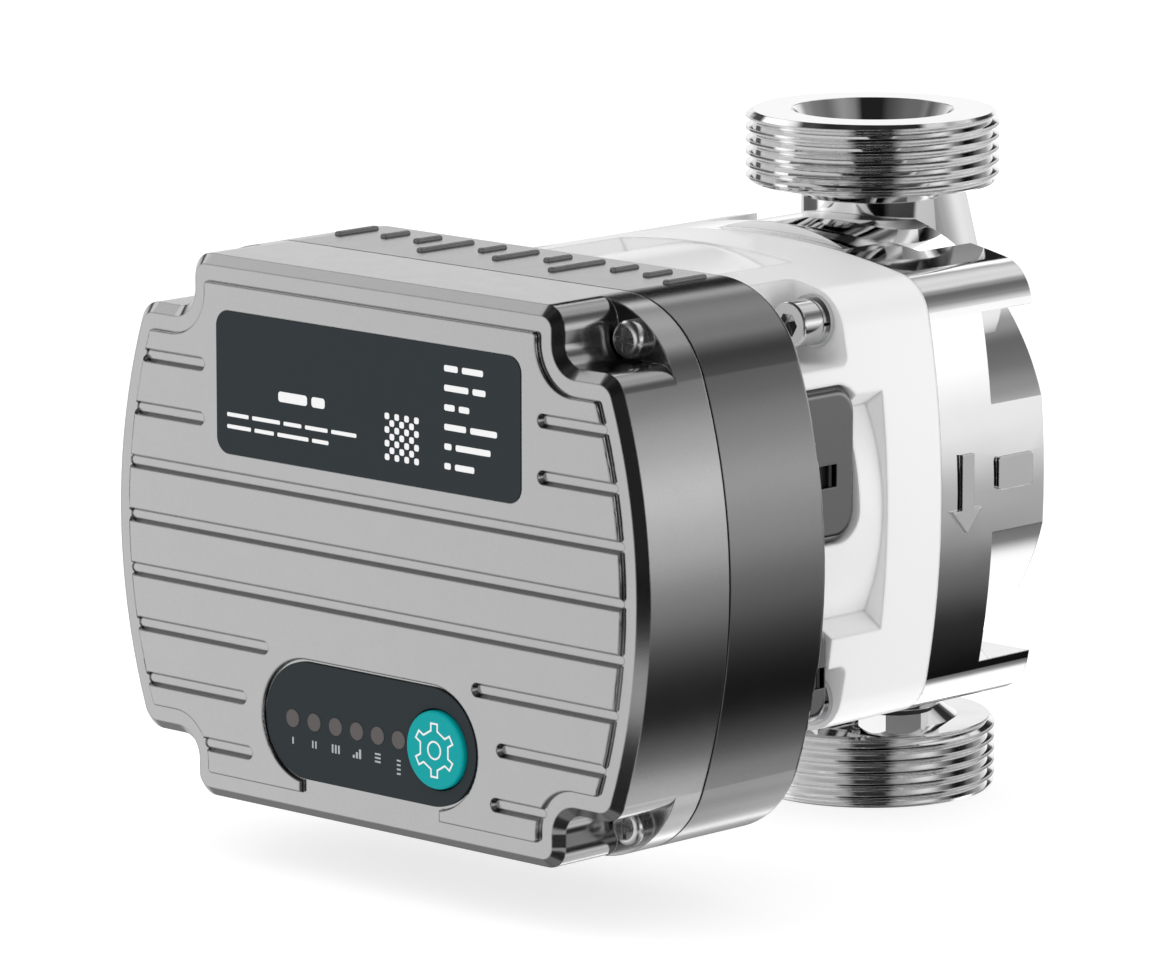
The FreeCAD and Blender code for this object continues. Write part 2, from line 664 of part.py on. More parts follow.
def notch_tool(sx, sz, inset, y0, y1):
    """Removes one corner of the front cover down to the screw pocket."""
    at_x, at_z = sx * (NOTCH_X - inset), BOX_Z + sz * (NOTCH_Z - inset)
    low_x, high_x = sorted((at_x, sx * 90.0))
    low_z, high_z = sorted((at_z, BOX_Z + sz * 90.0))
    tool = box(low_x, high_x, y0, y1, low_z, high_z)
    inner = edges_along_y(tool, lambda x, z: abs(x - at_x) + abs(z - at_z) < 1e-3)
    return tool.makeFillet(NOTCH_R + inset, inner)


def notched_prism(y0, y1, inset):
    """Front cover section: the box outline with its four corners notched and rounded."""
    solid = box_prism(y0, y1, inset)
    for sx, sz in SIGNS:
        solid = solid.cut(notch_tool(sx, sz, inset, y0 - 1, y1 + 1))
    tops = edges_along_y(solid, lambda x, z: abs(abs(x) - NOTCH_X + inset) < 1e-3
                         and abs(z - BOX_Z) > BOX_HALF_Z - inset - 2.0)
    solid = solid.makeFillet(max(NOTCH_TOP_ROUND - inset, 0.8), tops)
    sides = edges_along_y(solid, lambda x, z: abs(x) > 52.0
                          and abs(abs(z - BOX_Z) - NOTCH_Z + inset) < 1e-3)
    return solid.makeFillet(max(NOTCH_SIDE_ROUND - inset, 0.8), sides)


def box_screw_spots():
    return [(sx * BOX_SCREW[0], sz * BOX_SCREW[1]) for sx, sz in SIGNS]


def cover_screw_spots():
    return [(sx * COVER_SCREW[0], BOX_Z + sz * COVER_SCREW[1]) for sx, sz in SIGNS]


# ---------------------------------------------------------------- front cover
def groove(x0, x1, z):
    """Tapered groove with round ends."""
    low, high = sorted((x0, x1))
    ends = GROOVE_HALF
    wide = stadium_face(low + ends, high - ends, z, GROOVE_HALF)
    narrow = stadium_face(low + ends, high - ends, z, GROOVE_FLOOR_HALF)
    wide.translate(V(0, PANEL_Y - 0.01, 0))
    narrow.translate(V(0, PANEL_Y + GROOVE_DEPTH, 0))
    return Part.makeLoft([wide.OuterWire, narrow.OuterWire], True, True)


def grooves():
    tools = []
    for i, row in enumerate(GROOVE_ROWS):
        z = GROOVE_TOP - GROOVE_STEP * i
        if row is None:
            tools.append(groove(-FULL_GROOVE_END, FULL_GROOVE_END, z))
            continue
        tools.append(groove(row[0], row[1], z))
        tools.append(groove(row[2], row[3], z))
    return tools


def display_recess():
    """Opening in the raised panel for the display, running out at its lower edge."""
    half = DISPLAY_HALF_Z + 0.55
    reach = DISPLAY_HALF_X + 0.55 - half
    pill = prism_y(stadium_face(-reach, reach, DISPLAY_Z, half), PANEL_Y - 1, FACE_Y)
    outlet = box(-17.5, 17.5, PANEL_Y - 1, FACE_Y, -55.0, DISPLAY_Z - 6)
    return pill.fuse(outlet)


def raised_panel():
    panel = notched_prism(PANEL_Y, FACE_Y, PANEL_INSET).cut(display_recess())
    return panel.makeFillet(0.4, edges_at_y(panel, PANEL_Y))


def control_box_front():
    """Die-cast front cover: rim, raised panel, grooves, corner pockets and a hollow back."""
    front = notched_prism(FACE_Y, POCKET_Y, 0.0)
    front = front.makeChamfer(RIM_CHAMFER, edges_at_y(front, FACE_Y))
    solid = fuse([box_prism(POCKET_Y, COVER_BACK_Y), front, raised_panel()])
    for tool in grooves():
        solid = solid.cut(tool)
    solid = solid.cut(notched_prism(FACE_Y + 2.4, POCKET_Y + 2.2, BOX_WALL))
    solid = solid.cut(box_prism(POCKET_Y + 2.2, COVER_BACK_Y + 1, BOX_WALL))
    posts = [cyl_y(3.0, FACE_Y + 2.0, BOARD_Y[0], x, z) for x, z in board_spots()]
    solid = fuse([solid] + posts)
    for x, z in board_spots():
        solid = solid.cut(cyl_y(1.3, FACE_Y + 3.5, BOARD_Y[0] + 1, x, z))
    for x, z in cover_screw_spots():
        solid = solid.cut(cyl_y(2.2, POCKET_Y - 1, COVER_BACK_Y, x, z))
    for x in LED_XS:
        solid = solid.cut(cyl_y(LED_R + 0.05, FACE_Y - 1, FACE_Y + 5, x, DISPLAY_Z))
    solid = solid.cut(cyl_y(BUTTON_R + BUTTON_GAP, FACE_Y - 1, FACE_Y + 5, *BUTTON_AT))
    return solid.cut(label_prism(PANEL_Y - 1, PANEL_Y + 0.3)).removeSplitter()


def label_prism(y0, y1):
    plate = box(-LABEL_X, LABEL_X, y0, y1, *LABEL_Z)
    return plate.makeFillet(3.0, edges_along_y(plate, lambda x, z: True))


def label_plate():
    return label_prism(PANEL_Y - 0.15, PANEL_Y + 0.3)


def display_panel():
    """Dark pill-shaped fascia with its openings for the lights and the button."""
    reach = DISPLAY_HALF_X - DISPLAY_HALF_Z
    pill = prism_y(stadium_face(-reach, reach, DISPLAY_Z, DISPLAY_HALF_Z), FACE_Y - 0.5, FACE_Y)
    for x in LED_XS:
        pill = pill.cut(cyl_y(LED_R, FACE_Y - 1, FACE_Y + 1, x, DISPLAY_Z))
    return pill.cut(cyl_y(BUTTON_R + BUTTON_GAP, FACE_Y - 1, FACE_Y + 1, *BUTTON_AT))


def led_windows():
    return group([cyl_y(LED_R, FACE_Y - 0.6, FACE_Y + 2.3, x, DISPLAY_Z) for x in LED_XS])


def mode_button():
    """Push button: dished cap, retaining flange and stem."""
    x, z = BUTTON_AT
    cap = cyl_y(BUTTON_R, FACE_Y - 1.4, FACE_Y + 3.6, x, z)
    cap = cap.makeFillet(0.5, edges_at_y(cap, FACE_Y - 1.4))
    cap = cap.cut(cyl_y(BUTTON_R - 1.3, FACE_Y + 0.6, FACE_Y + 3.7, x, z))
    flange = ring_y(BUTTON_R + 1.6, BUTTON_R - 1.3, FACE_Y + 2.8, FACE_Y + 3.6, x, z)
    stem = cyl_y(1.6, FACE_Y + 0.3, FACE_Y + 6.2, x, z)
    return fuse([cap, flange, stem])


def button_seal():
    x, z = BUTTON_AT
    return ring_y(BUTTON_R + 1.8, BUTTON_R + BUTTON_GAP, FACE_Y + 2.4, FACE_Y + 2.65, x, z)


def pan_head(radius, height, seat, x, z):
    """Domed screw head with a cross recess, facing -Y on a seat."""
    head = cyl_y(radius, seat - height, seat, x, z)
    head = head.makeFillet(1.3, edges_at_y(head, seat - height))
    long, short = radius * 0.6, 0.45
    for dx, dz in ((long, short), (short, long)):
        head = head.cut(box(x - dx, x + dx, seat - height - 1, seat - 1.1, z - dz, z + dz))
    return head


def cover_screws():
    screws = []
    for x, z in cover_screw_spots():
        head = pan_head(3.5, 2.5, POCKET_Y, x, z)
        screws.append(head.fuse(cyl_y(1.95, POCKET_Y, -98.0, x, z)).removeSplitter())
    return group(screws)


def cover_gasket():
    ring = box_prism(COVER_BACK_Y, SHELL_FRONT_Y, 0.35)
    ring = ring.cut(box_prism(COVER_BACK_Y - 1, SHELL_FRONT_Y + 1, BOX_WALL - 0.2))
    for x, z in cover_screw_spots():
        ring = ring.cut(cyl_y(2.3, COVER_BACK_Y - 1, SHELL_FRONT_Y + 1, x, z))
    return ring


# ---------------------------------------------------------------- rear shell
def cooling_ribs():
    """Low rounded ribs along the rear of the top."""
    top = BOX_Z + BOX_HALF_Z
    ribs = []
    for k in range(-5, 6):
        length = RIB_LENGTHS[abs(k)]
        x = k * RIB_STEP
        rib = box(x - 0.7, x + 0.7, RIB_BACK_Y - length, RIB_BACK_Y, top - 1.0, top + 0.6)
        crest = [e for e in rib.Edges if e.BoundBox.ZMin > top + 0.5]
        ribs.append(rib.makeFillet(0.5, crest))
    return ribs


def control_box_rear():
    """Die-cast rear shell that carries the box on the motor, with its locking plates."""
    shell = box_prism(SHELL_FRONT_Y, SHELL_BACK_Y)
    shell = shell.makeFillet(1.2, edges_at_y(shell, SHELL_BACK_Y))
    shell = shell.cut(box_prism(SHELL_FRONT_Y - 1, SHELL_BACK_Y - BOX_WALL, BOX_WALL))
    pillars = [cyl_y(4.6, SHELL_FRONT_Y, SHELL_BACK_Y - 1.0, x, z) for x, z in cover_screw_spots()]
    inside = box_prism(SHELL_FRONT_Y, SHELL_BACK_Y - 0.5, 0.5)
    pillars = [p.common(inside) for p in pillars]
    ears = [ear(side, *spec) for side in (1, -1) for spec in EARS]
    pad = cyl_x(10.5, GLAND_PAD_X, GLAND_INNER_X, *GLAND_AT)
    solid = fuse([shell, pad] + pillars + ears + cooling_ribs())
    for x, z in cover_screw_spots():
        solid = solid.cut(cyl_y(2.0, SHELL_FRONT_Y - 1, -96.0, x, z))
    for side in (1, -1):
        for low, high, front, rear in EAR_HOLES:
            x0, x1 = sorted((side * (EAR_X[0] - 1), side * (EAR_X[1] + 1)))
            solid = solid.cut(box(x0, x1, front, rear, low, high))
    for x, z in box_screw_spots():
        solid = solid.cut(cyl_y(2.2, SHELL_BACK_Y - 4, SHELL_BACK_Y + 1, x, z))
    solid = solid.cut(cyl_y(10.0, SHELL_BACK_Y - 4, SHELL_BACK_Y + 1))
    return solid.cut(cyl_x(6.05, -80.0, -50.0, *GLAND_AT)).removeSplitter()


def latch_hooks():
    """Black hooks that fill the holes of the locking plates."""
    hooks = []
    for side in (1, -1):
        for low, high, front, rear in EAR_HOLES:
            x0, x1 = sorted((side * EAR_X[0], side * (EAR_X[1] - 1.4)))
            block = box(x0, x1, front, rear - 1.6, low, high)
            x0, x1 = sorted((side * EAR_X[0], side * (EAR_X[1] - 0.5)))
            lip = box(x0, x1, rear - 1.6, rear - 0.8, low, high)
            hooks.append(block.fuse(lip).removeSplitter())
    return group(hooks)


def box_gasket():
    return ring_y(16.0, 11.0, SHELL_BACK_Y, HOUSING_FRONT_Y)


def box_screws():
    """Screws that hold the rear shell on the motor housing."""
    seat = SHELL_BACK_Y - BOX_WALL
    screws = []
    for x, z in box_screw_spots():
        head = pan_head(3.8, 2.6, seat, x, z)
        screws.append(head.fuse(cyl_y(1.95, seat, -78.0, x, z)).removeSplitter())
    return group(screws)


# ---------------------------------------------------------------- cable gland
def cable_gland_body():
    """Hexagon flange outside the wall, a threaded spigot through it and a collar for the nut."""
    face = GLAND_PAD_X - 1.2
    flange = hexagon_x(GLAND_FLATS, face - 5.0, face, *GLAND_AT)
    spigot = cyl_x(6.0, face - 0.1, GLAND_INNER_X + 5.0, *GLAND_AT)
    collar = cyl_x(7.0, face - 12.0, face - 4.9, *GLAND_AT)
    solid = fuse([flange, spigot, collar])
    return solid.cut(cyl_x(GLAND_BORE_R + 0.6, face - 20, face + 20, *GLAND_AT))


def gland_washer():
    ring = cyl_x(8.8, GLAND_PAD_X - 1.2, GLAND_PAD_X, *GLAND_AT)
    return ring.cut(cyl_x(6.05, GLAND_PAD_X - 5, GLAND_PAD_X + 5, *GLAND_AT))


def gland_nut():
    """Domed clamping nut with six flats."""
    back = GLAND_PAD_X - 6.6
    front = back - 12.6
    body = hexagon_x(GLAND_FLATS, front, back, *GLAND_AT)
    dome = Part.makeCone(6.2, 10.5, 8.0, V(front, *GLAND_AT), X_DIR)
    body = body.common(dome.fuse(cyl_x(10.5, front + 8.0, back, *GLAND_AT)))
    body = body.cut(cyl_x(7.0, back - 6.6, back + 1, *GLAND_AT))
    return body.cut(cyl_x(GLAND_BORE_R + 0.6, front - 1, back, *GLAND_AT))


def gland_seal():
    x0, x1 = GLAND_PAD_X - 18.2, GLAND_PAD_X - 5.2
    ring = cyl_x(GLAND_BORE_R + 0.6, x0, x1, *GLAND_AT)
    return ring.cut(cyl_x(GLAND_BORE_R, x0 - 1, x1 + 1, *GLAND_AT))


def gland_locknut():
    nut = hexagon_x(GLAND_FLATS - 1.0, GLAND_INNER_X, GLAND_INNER_X + 4.0, *GLAND_AT)
    return nut.cut(cyl_x(6.0, GLAND_INNER_X - 1, GLAND_INNER_X + 5, *GLAND_AT))


# ---------------------------------------------------------------- electronics
def board_spots():
    return [(36.0, 27.0), (-36.0, 27.0), (-40.0, -27.0), (40.0, -27.0)]


def controller_board():
    board = box(-43.0, 43.0, *BOARD_Y, -41.0, 33.0)
    board = board.makeFillet(2.0, edges_along_y(board, lambda x, z: True))
    for x, z in board_spots():
        board = board.cut(cyl_y(1.6, BOARD_Y[0] - 1, BOARD_Y[1] + 1, x, z))
    return board


def board_screws():
    screws = []
    for x, z in board_spots():
        head = cyl_y(2.6, BOARD_Y[1], BOARD_Y[1] + 1.8, x, z)
        head = head.makeFillet(0.8, edges_at_y(head, BOARD_Y[1] + 1.8))
        slot = box(x - 2.0, x + 2.0, BOARD_Y[1] + 1.0, BOARD_Y[1] + 3.0, z - 0.3, z + 0.3)
        screws.append(head.cut(slot).fuse(cyl_y(1.25, FACE_Y + 4.0, BOARD_Y[1], x, z)))
    return group(screws)


def capacitors():
    """Two electrolytic capacitors standing on the back of the board."""
    cans = []
    for x in (-22.0, -1.0):
        can = cyl_y(8.5, BOARD_Y[1], BOARD_Y[1] + 24.0, x, 20.0)
        cans.append(can.makeFillet(1.0, edges_at_y(can, BOARD_Y[1] + 24.0)))
    return group(cans)


def line_choke():
    ring = ring_y(10.5, 4.5, BOARD_Y[1], BOARD_Y[1] + 9.0, 24.0, 14.0)
    return ring.makeFillet(1.8, edges_at_y(ring, BOARD_Y[1] + 9.0))


def film_capacitor():
    block = box(-40.0, -32.0, BOARD_Y[1], BOARD_Y[1] + 13.0, -18.0, 6.0)
    return block.makeFillet(0.8, edges_at_y(block, BOARD_Y[1] + 13.0))


def power_module():
    """Driver module standing off the board, with its pin rows, its back on the thermal pad."""
    body = box(-16.0, 16.0, -98.0, -91.0, -38.0, -20.0)
    pins = [box(-14.4 + 4 * i, -13.6 + 4 * i, BOARD_Y[1], -97.9, z - 0.4, z + 0.4)
            for i in range(8) for z in (-36.0, -22.0)]
    return fuse([body] + pins)


def thermal_pad():
    return box(-15.0, 15.0, -91.0, SHELL_BACK_Y - BOX_WALL, -37.0, -21.0)


def terminal_block():
    top = BOARD_Y[1] + 11.0
    block = box(-43.0, -31.0, BOARD_Y[1], top, -40.0, -32.0)
    for x in (-41.0, -37.0, -33.0):
        block = block.cut(box(x - 1.3, x + 1.3, top - 7.0, top + 1.0, -38.6, -33.4))
    return block


def phase_socket():
    """Socket on the board that takes the three pins of the stator connector."""
    body = box(-7.0, 7.0, BOARD_Y[1], -95.0, -5.0, 7.0)
    for hole in phase_pins(0.9, -100.0, -94.0):
        body = body.cut(hole)
    return body


def tactile_switch():
    x, z = BUTTON_AT
    case = box(x - 3, x + 3, BOARD_Y[0] - 3.4, BOARD_Y[0], z - 3, z + 3)
    return case.cut(cyl_y(1.95, BOARD_Y[0] - 4, BOARD_Y[0] - 1.0, x, z))


def leds():
    y, z = BOARD_Y[0], DISPLAY_Z
    return group([box(x - 1.2, x + 1.2, y - 1.2, y, z - 1.2, z + 1.2) for x in LED_XS])


def earth_screw():
    """Earth terminal screw on the inside of the rear shell's back wall."""
    x, z = -40.0, 0.0
    seat = SHELL_BACK_Y - BOX_WALL
    head = cyl_y(3.6, seat - 2.8, seat, x, z)
    head = head.cut(box(x - 3, x + 3, seat - 3, seat - 1.7, z - 0.4, z + 0.4))
    return head.fuse(hexagon_y(7.0, seat - 1.6, seat, x, z)).removeSplitter()


# ---------------------------------------------------------------- nodes
NODES = {
    "volute_housing": volute_housing,
    "neck_ring": neck_ring,
    "housing_gasket": housing_gasket,
    "drain_plug": drain_plug,
    "drain_washer": drain_washer,
    "motor_housing": motor_housing,
    "housing_bolts": housing_bolts,
    "bolt_washers": bolt_washers,
    "spring_washers": spring_washers,
    "bearing_plate": bearing_plate,
    "front_bearing": lambda: radial_bearing(-46.0, -36.0),
    "rear_bearing": lambda: radial_bearing(CAN_END_Y + 1.0, CAN_END_Y + 5.0),
    "bearing_carrier": bearing_carrier,
    "rotor_can": rotor_can,
    "stator_core": stator_core,
    "stator_insulators": stator_insulators,
    "stator_coils": stator_coils,
    "stator_connector": stator_connector,
    "shaft": shaft,
    "rotor_core": rotor_core,
    "rotor_magnets": rotor_magnets,
    "rotor_sleeve": rotor_sleeve,
    "rotor_end_caps": rotor_end_caps,
    "thrust_collar": thrust_collar,
    "impeller_hub": impeller_hub,
    "impeller_vanes": impeller_vanes,
    "impeller_shroud": impeller_shroud,
    "impeller_nut": impeller_nut,
    "control_box_rear": control_box_rear,
    "control_box_front": control_box_front,
    "cover_gasket": cover_gasket,
    "cover_screws": cover_screws,
    "latch_hooks": latch_hooks,
    "box_gasket": box_gasket,
    "box_screws": box_screws,
    "label_plate": label_plate,
    "display_panel": display_panel,
    "led_windows": led_windows,
    "mode_button": mode_button,
    "button_seal": button_seal,
    "cable_gland_body": cable_gland_body,
    "gland_washer": gland_washer,
    "gland_nut": gland_nut,
    "gland_seal": gland_seal,
    "gland_locknut": gland_locknut,
    "controller_board": controller_board,
    "board_screws": board_screws,
    "capacitors": capacitors,
    "line_choke": line_choke,
    "film_capacitor": film_capacitor,
    "power_module": power_module,
    "thermal_pad": thermal_pad,
    "terminal_block": terminal_block,
    "phase_socket": phase_socket,
    "tactile_switch": tactile_switch,
    "leds": leds,
    "earth_screw": earth_screw,
}


def main():
    os.makedirs("parts", exist_ok=True)
    for name, make in NODES.items():
        save(name, make())


main()
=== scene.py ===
"""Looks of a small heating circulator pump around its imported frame."""

import json
import logging
import math
from dataclasses import dataclass, field
from enum import Enum
from typing import Any, Iterable

import bmesh
import bpy
from mathutils import Matrix, Vector

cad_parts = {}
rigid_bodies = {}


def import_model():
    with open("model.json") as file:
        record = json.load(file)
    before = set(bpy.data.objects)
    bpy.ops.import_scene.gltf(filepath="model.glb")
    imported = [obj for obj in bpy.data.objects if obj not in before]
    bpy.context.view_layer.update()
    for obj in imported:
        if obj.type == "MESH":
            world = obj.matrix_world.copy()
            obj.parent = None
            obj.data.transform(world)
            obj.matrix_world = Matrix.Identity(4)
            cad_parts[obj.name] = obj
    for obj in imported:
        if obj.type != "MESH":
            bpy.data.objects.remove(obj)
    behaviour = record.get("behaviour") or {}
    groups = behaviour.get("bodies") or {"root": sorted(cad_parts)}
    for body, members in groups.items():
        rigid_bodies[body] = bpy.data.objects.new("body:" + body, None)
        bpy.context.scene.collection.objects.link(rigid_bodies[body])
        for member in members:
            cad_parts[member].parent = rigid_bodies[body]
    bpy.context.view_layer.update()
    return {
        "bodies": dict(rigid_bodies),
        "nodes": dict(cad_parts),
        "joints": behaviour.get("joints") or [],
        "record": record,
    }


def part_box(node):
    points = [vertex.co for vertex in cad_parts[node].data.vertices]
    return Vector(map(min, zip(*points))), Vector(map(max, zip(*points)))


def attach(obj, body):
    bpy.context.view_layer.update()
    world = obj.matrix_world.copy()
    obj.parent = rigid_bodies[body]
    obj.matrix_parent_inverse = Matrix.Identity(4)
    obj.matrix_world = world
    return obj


logging.basicConfig(level=logging.INFO, format="%(levelname)s %(message)s")
LOG = logging.getLogger("circulator")

Colour = tuple[float, float, float]
MM = 0.001
SAME_POINT = 1e-7


# ---------------------------------------------------------------- shader kit


class Signal:
    """An output socket that takes part in ordinary arithmetic."""

    def __init__(self, graph: "Graph", socket: bpy.types.NodeSocket) -> None:
        """Keeps the socket and the graph that new nodes go to."""
        self.graph = graph
        self.socket = socket

    def _math(self, operation: str, first: Any, second: Any) -> "Signal":
        """One Math node on two numbers or signals."""
        return self.graph.node(
            "ShaderNodeMath", {"operation": operation}, {0: first, 1: second}
        )

    def __add__(self, other: Any) -> "Signal":
        """The sum."""
        return self._math("ADD", self, other)

    def __radd__(self, other: Any) -> "Signal":
        """The sum, with the number first."""
        return self._math("ADD", other, self)

    def __sub__(self, other: Any) -> "Signal":
        """The difference."""
        return self._math("SUBTRACT", self, other)

    def __rsub__(self, other: Any) -> "Signal":
        """The difference, with the number first."""
        return self._math("SUBTRACT", other, self)

    def __mul__(self, other: Any) -> "Signal":
        """The product."""
        return self._math("MULTIPLY", self, other)

    def __rmul__(self, other: Any) -> "Signal":
        """The product, with the number first."""
        return self._math("MULTIPLY", other, self)

    def __truediv__(self, other: Any) -> "Signal":
        """The quotient."""
        return self._math("DIVIDE", self, other)

    def __rtruediv__(self, other: Any) -> "Signal":
        """The quotient, with the number first."""
        return self._math("DIVIDE", other, self)


class Graph:
    """A node tree that is filled through one method."""

    def __init__(self, tree: bpy.types.NodeTree) -> None:
        """Empties the tree and keeps it."""
        tree.nodes.clear()
        self.tree = tree

    def node(
        self,
        kind: str,
        settings: dict[str, Any] | None = None,
        values: dict[str | int, Any] | None = None,
        out: str | int = 0,
    ) -> Signal | None:
        """Adds a node.

        Args:
            kind: the node's type.
            settings: properties of the node, set before its sockets; "stops"
                fills a colour ramp with (place, value) pairs.
            values: numbers, colours or signals for its input sockets.
            out: the output that the result stands for.

        Returns:
            The chosen output, or None where the node has none.
        """
        made = self.tree.nodes.new(kind)
        for name, value in (settings or {}).items():
            if name == "stops":
                self._fill_ramp(made.color_ramp, value)
            else:
                setattr(made, name, value)
        for name, value in (values or {}).items():
            if isinstance(value, Signal):
                self.tree.links.new(value.socket, made.inputs[name])
            else:
                made.inputs[name].default_value = self._fitted(
                    made.inputs[name], value
                )
        return Signal(self, made.outputs[out]) if len(made.outputs) else None

    @staticmethod
    def _fitted(socket: bpy.types.NodeSocket, value: Any) -> Any:
        """A colour gets its alpha; any other value stays as it is."""
        if socket.type == "RGBA" and len(value) == 3:
            return (*value, 1.0)
        return value

    @staticmethod
    def _fill_ramp(
        ramp: bpy.types.ColorRamp, stops: Iterable[tuple[float, float]]
    ) -> None:
        """Gives a colour ramp its stops, as (place, grey value) pairs."""
        ramp.interpolation = "EASE"
        for index, (place, value) in enumerate(stops):
            known = index < len(ramp.elements)
            stop = ramp.elements[index] if known else ramp.elements.new(place)
            stop.position = place
            stop.color = (value, value, value, 1.0)


# ------------------------------------------------------------------ finishes


class Grain(Enum):
    """The fine patterns that a finish can carry."""

    CAST = "cast"
    PEEL = "peel"
    FLAKE = "flake"
    BRUSHED = "brushed"
    MOULDED = "moulded"
    LAMINATED = "laminated"
    WOUND = "wound"
    TRACKS = "tracks"


# How many finer layers each plain noise has.
NOISE_DETAIL = {
    Grain.CAST: 1.0, Grain.PEEL: 2.0, Grain.BRUSHED: 2.0, Grain.MOULDED: 4.0,
}
# The broad unevenness that every finish has: its width in grains, its finer
# layers, and its share in the gloss, where the fine grain has the rest.
BROAD_GRAINS = 14.0
BROAD_DETAIL = 3.0
BROAD_GLOSS = 0.7
# Brushed metal is drawn out along Y.
BRUSH_STRETCH = (1.0, 0.06, 1.0)
# The wave scale at which one band takes one metre, and how uneven bands are.
BAND_RATE = 0.314
BAND_WOBBLE = 0.6
BAND_DETAIL = 1.0
# Where the gaps between circuit tracks end, as ramp stops.
TRACK_STOPS = ((0.02, 0.0), (0.08, 1.0))
COAT_ROUGHNESS = 0.12
EDGE_SAMPLES = 4


@dataclass(frozen=True)
class Finish:
    """A surface finish that is made into one node-based material.

    Lengths are in metres. The grain is drawn on object coordinates.
    """

    name: str
    colour: Colour
    roughness: float
    metallic: float = 0.0
    grain: Grain = Grain.MOULDED
    grain_size: float = 0.0008
    grain_depth: float = 0.000004
    tone_swing: float = 0.05
    gloss_swing: float = 0.04
    edge_radius: float = 0.0002
    specular: float = 0.5
    coat: float = 0.0

    def material(self) -> bpy.types.Material:
        """The material, made once and then shared."""
        found = bpy.data.materials.get(self.name)
        return found if found is not None else self._make()

    def _make(self) -> bpy.types.Material:
        """Builds the material's nodes."""
        made = bpy.data.materials.new(self.name)
        made.use_nodes = True
        made.diffuse_color = (*self.colour, 1.0)
        graph = Graph(made.node_tree)
        place = graph.node("ShaderNodeTexCoord", out="Object")
        fine = self._pattern(graph, place)
        broad = self._noise(
            graph, place, self.grain_size * BROAD_GRAINS, BROAD_DETAIL
        )
        tone = 1.0 - self.tone_swing * (fine * 0.5 + broad * 0.5)
        colour = graph.node(
            "ShaderNodeVectorMath",
            {"operation": "SCALE"},
            {0: self.colour, "Scale": tone},
        )
        gloss = (self.roughness - self.gloss_swing * 0.5) + self.gloss_swing * (
            broad * BROAD_GLOSS + fine * (1.0 - BROAD_GLOSS)
        )
        edge = graph.node(
            "ShaderNodeBevel",
            {"samples": EDGE_SAMPLES},
            {"Radius": self.edge_radius},
        )
        relief = graph.node(
            "ShaderNodeBump",
            None,
            {
                "Strength": 1.0,
                "Distance": self.grain_depth,
                "Height": fine,
                "Normal": edge,
            },
        )
        shader = graph.node(
            "ShaderNodeBsdfPrincipled",
            None,
            {
                "Base Color": colour,
                "Metallic": self.metallic,
                "Roughness": gloss,
                "Specular IOR Level": self.specular,
                "Coat Weight": self.coat,
                "Coat Roughness": COAT_ROUGHNESS,
                "Normal": relief,
            },
        )
        graph.node("ShaderNodeOutputMaterial", None, {"Surface": shader})
        return made

    @staticmethod
    def _noise(graph: Graph, place: Signal, size: float, detail: float) -> Signal:
        """Soft noise, from 0 to 1.

        Args:
            graph: where its node goes.
            place: the coordinates it is drawn on.
            size: the width of one patch.
            detail: how many finer layers it has.

        Returns:
            The noise value.
        """
        return graph.node(
            "ShaderNodeTexNoise",
            None,
            {"Vector": place, "Scale": 1.0 / size, "Detail": detail},
        )

    def _cells(self, graph: Graph, place: Signal, feature: str, out: str) -> Signal:
        """Irregular cells of the grain's size.

        Args:
            graph: where its node goes.
            place: the coordinates they are drawn on.
            feature: what is measured in each cell.
            out: the output that carries it.

        Returns:
            That output.
        """
        return graph.node(
            "ShaderNodeTexVoronoi",
            {"feature": feature},
            {"Vector": place, "Scale": 1.0 / self.grain_size},
            out=out,
        )

    def _bands(self, graph: Graph, place: Signal, axis: str) -> Signal:
        """Even bands across one axis, a little uneven."""
        return graph.node(
            "ShaderNodeTexWave",
            {"wave_type": "BANDS", "bands_direction": axis},
            {
                "Vector": place,
                "Scale": BAND_RATE / self.grain_size,
                "Distortion": BAND_WOBBLE,
                "Detail": BAND_DETAIL,
            },
        )

    def _pattern(self, graph: Graph, place: Signal) -> Signal:
        """The finish's own fine pattern, from 0 to 1.

        Args:
            graph: where its nodes go.
            place: the object's coordinates.

        Returns:
            The pattern's value.
        """
        if self.grain is Grain.FLAKE:
            tints = self._cells(graph, place, "F1", "Color")
            return graph.node("ShaderNodeRGBToBW", None, {"Color": tints})
        if self.grain is Grain.LAMINATED:
            return self._bands(graph, place, "Y")
        if self.grain is Grain.WOUND:
            return self._bands(graph, place, "DIAGONAL")
        if self.grain is Grain.TRACKS:
            gaps = self._cells(graph, place, "DISTANCE_TO_EDGE", "Distance")
            return graph.node(
                "ShaderNodeValToRGB", {"stops": TRACK_STOPS}, {"Fac": gaps}
            )
        if self.grain is Grain.BRUSHED:
            place = graph.node(
                "ShaderNodeMapping", None, {"Vector": place, "Scale": BRUSH_STRETCH}
            )
        return self._noise(graph, place, self.grain_size, NOISE_DETAIL[self.grain])


CAST_STAINLESS = Finish(
    "polished_cast_stainless", (0.84, 0.84, 0.84), 0.05, 1.0, Grain.CAST,
    grain_size=0.011, grain_depth=0.00003, tone_swing=0.03, gloss_swing=0.03,
    edge_radius=0.00025,
)
STAINLESS = Finish(
    "turned_stainless", (0.86, 0.86, 0.86), 0.14, 1.0, Grain.BRUSHED,
    grain_size=0.0006, grain_depth=0.000002,
)
WHITE_PAINT = Finish(
    "white_powder_paint", (0.92, 0.92, 0.92), 0.33, 0.0, Grain.PEEL,
    grain_size=0.0011, grain_depth=0.000006, tone_swing=0.02, edge_radius=0.0011,
    coat=0.3,
)
COVER_METAL = Finish(
    "satin_grey_cover", (0.41, 0.41, 0.41), 0.16, 1.0, Grain.FLAKE,
    grain_size=0.00035, grain_depth=0.0000012, tone_swing=0.05, edge_radius=0.00035,
)
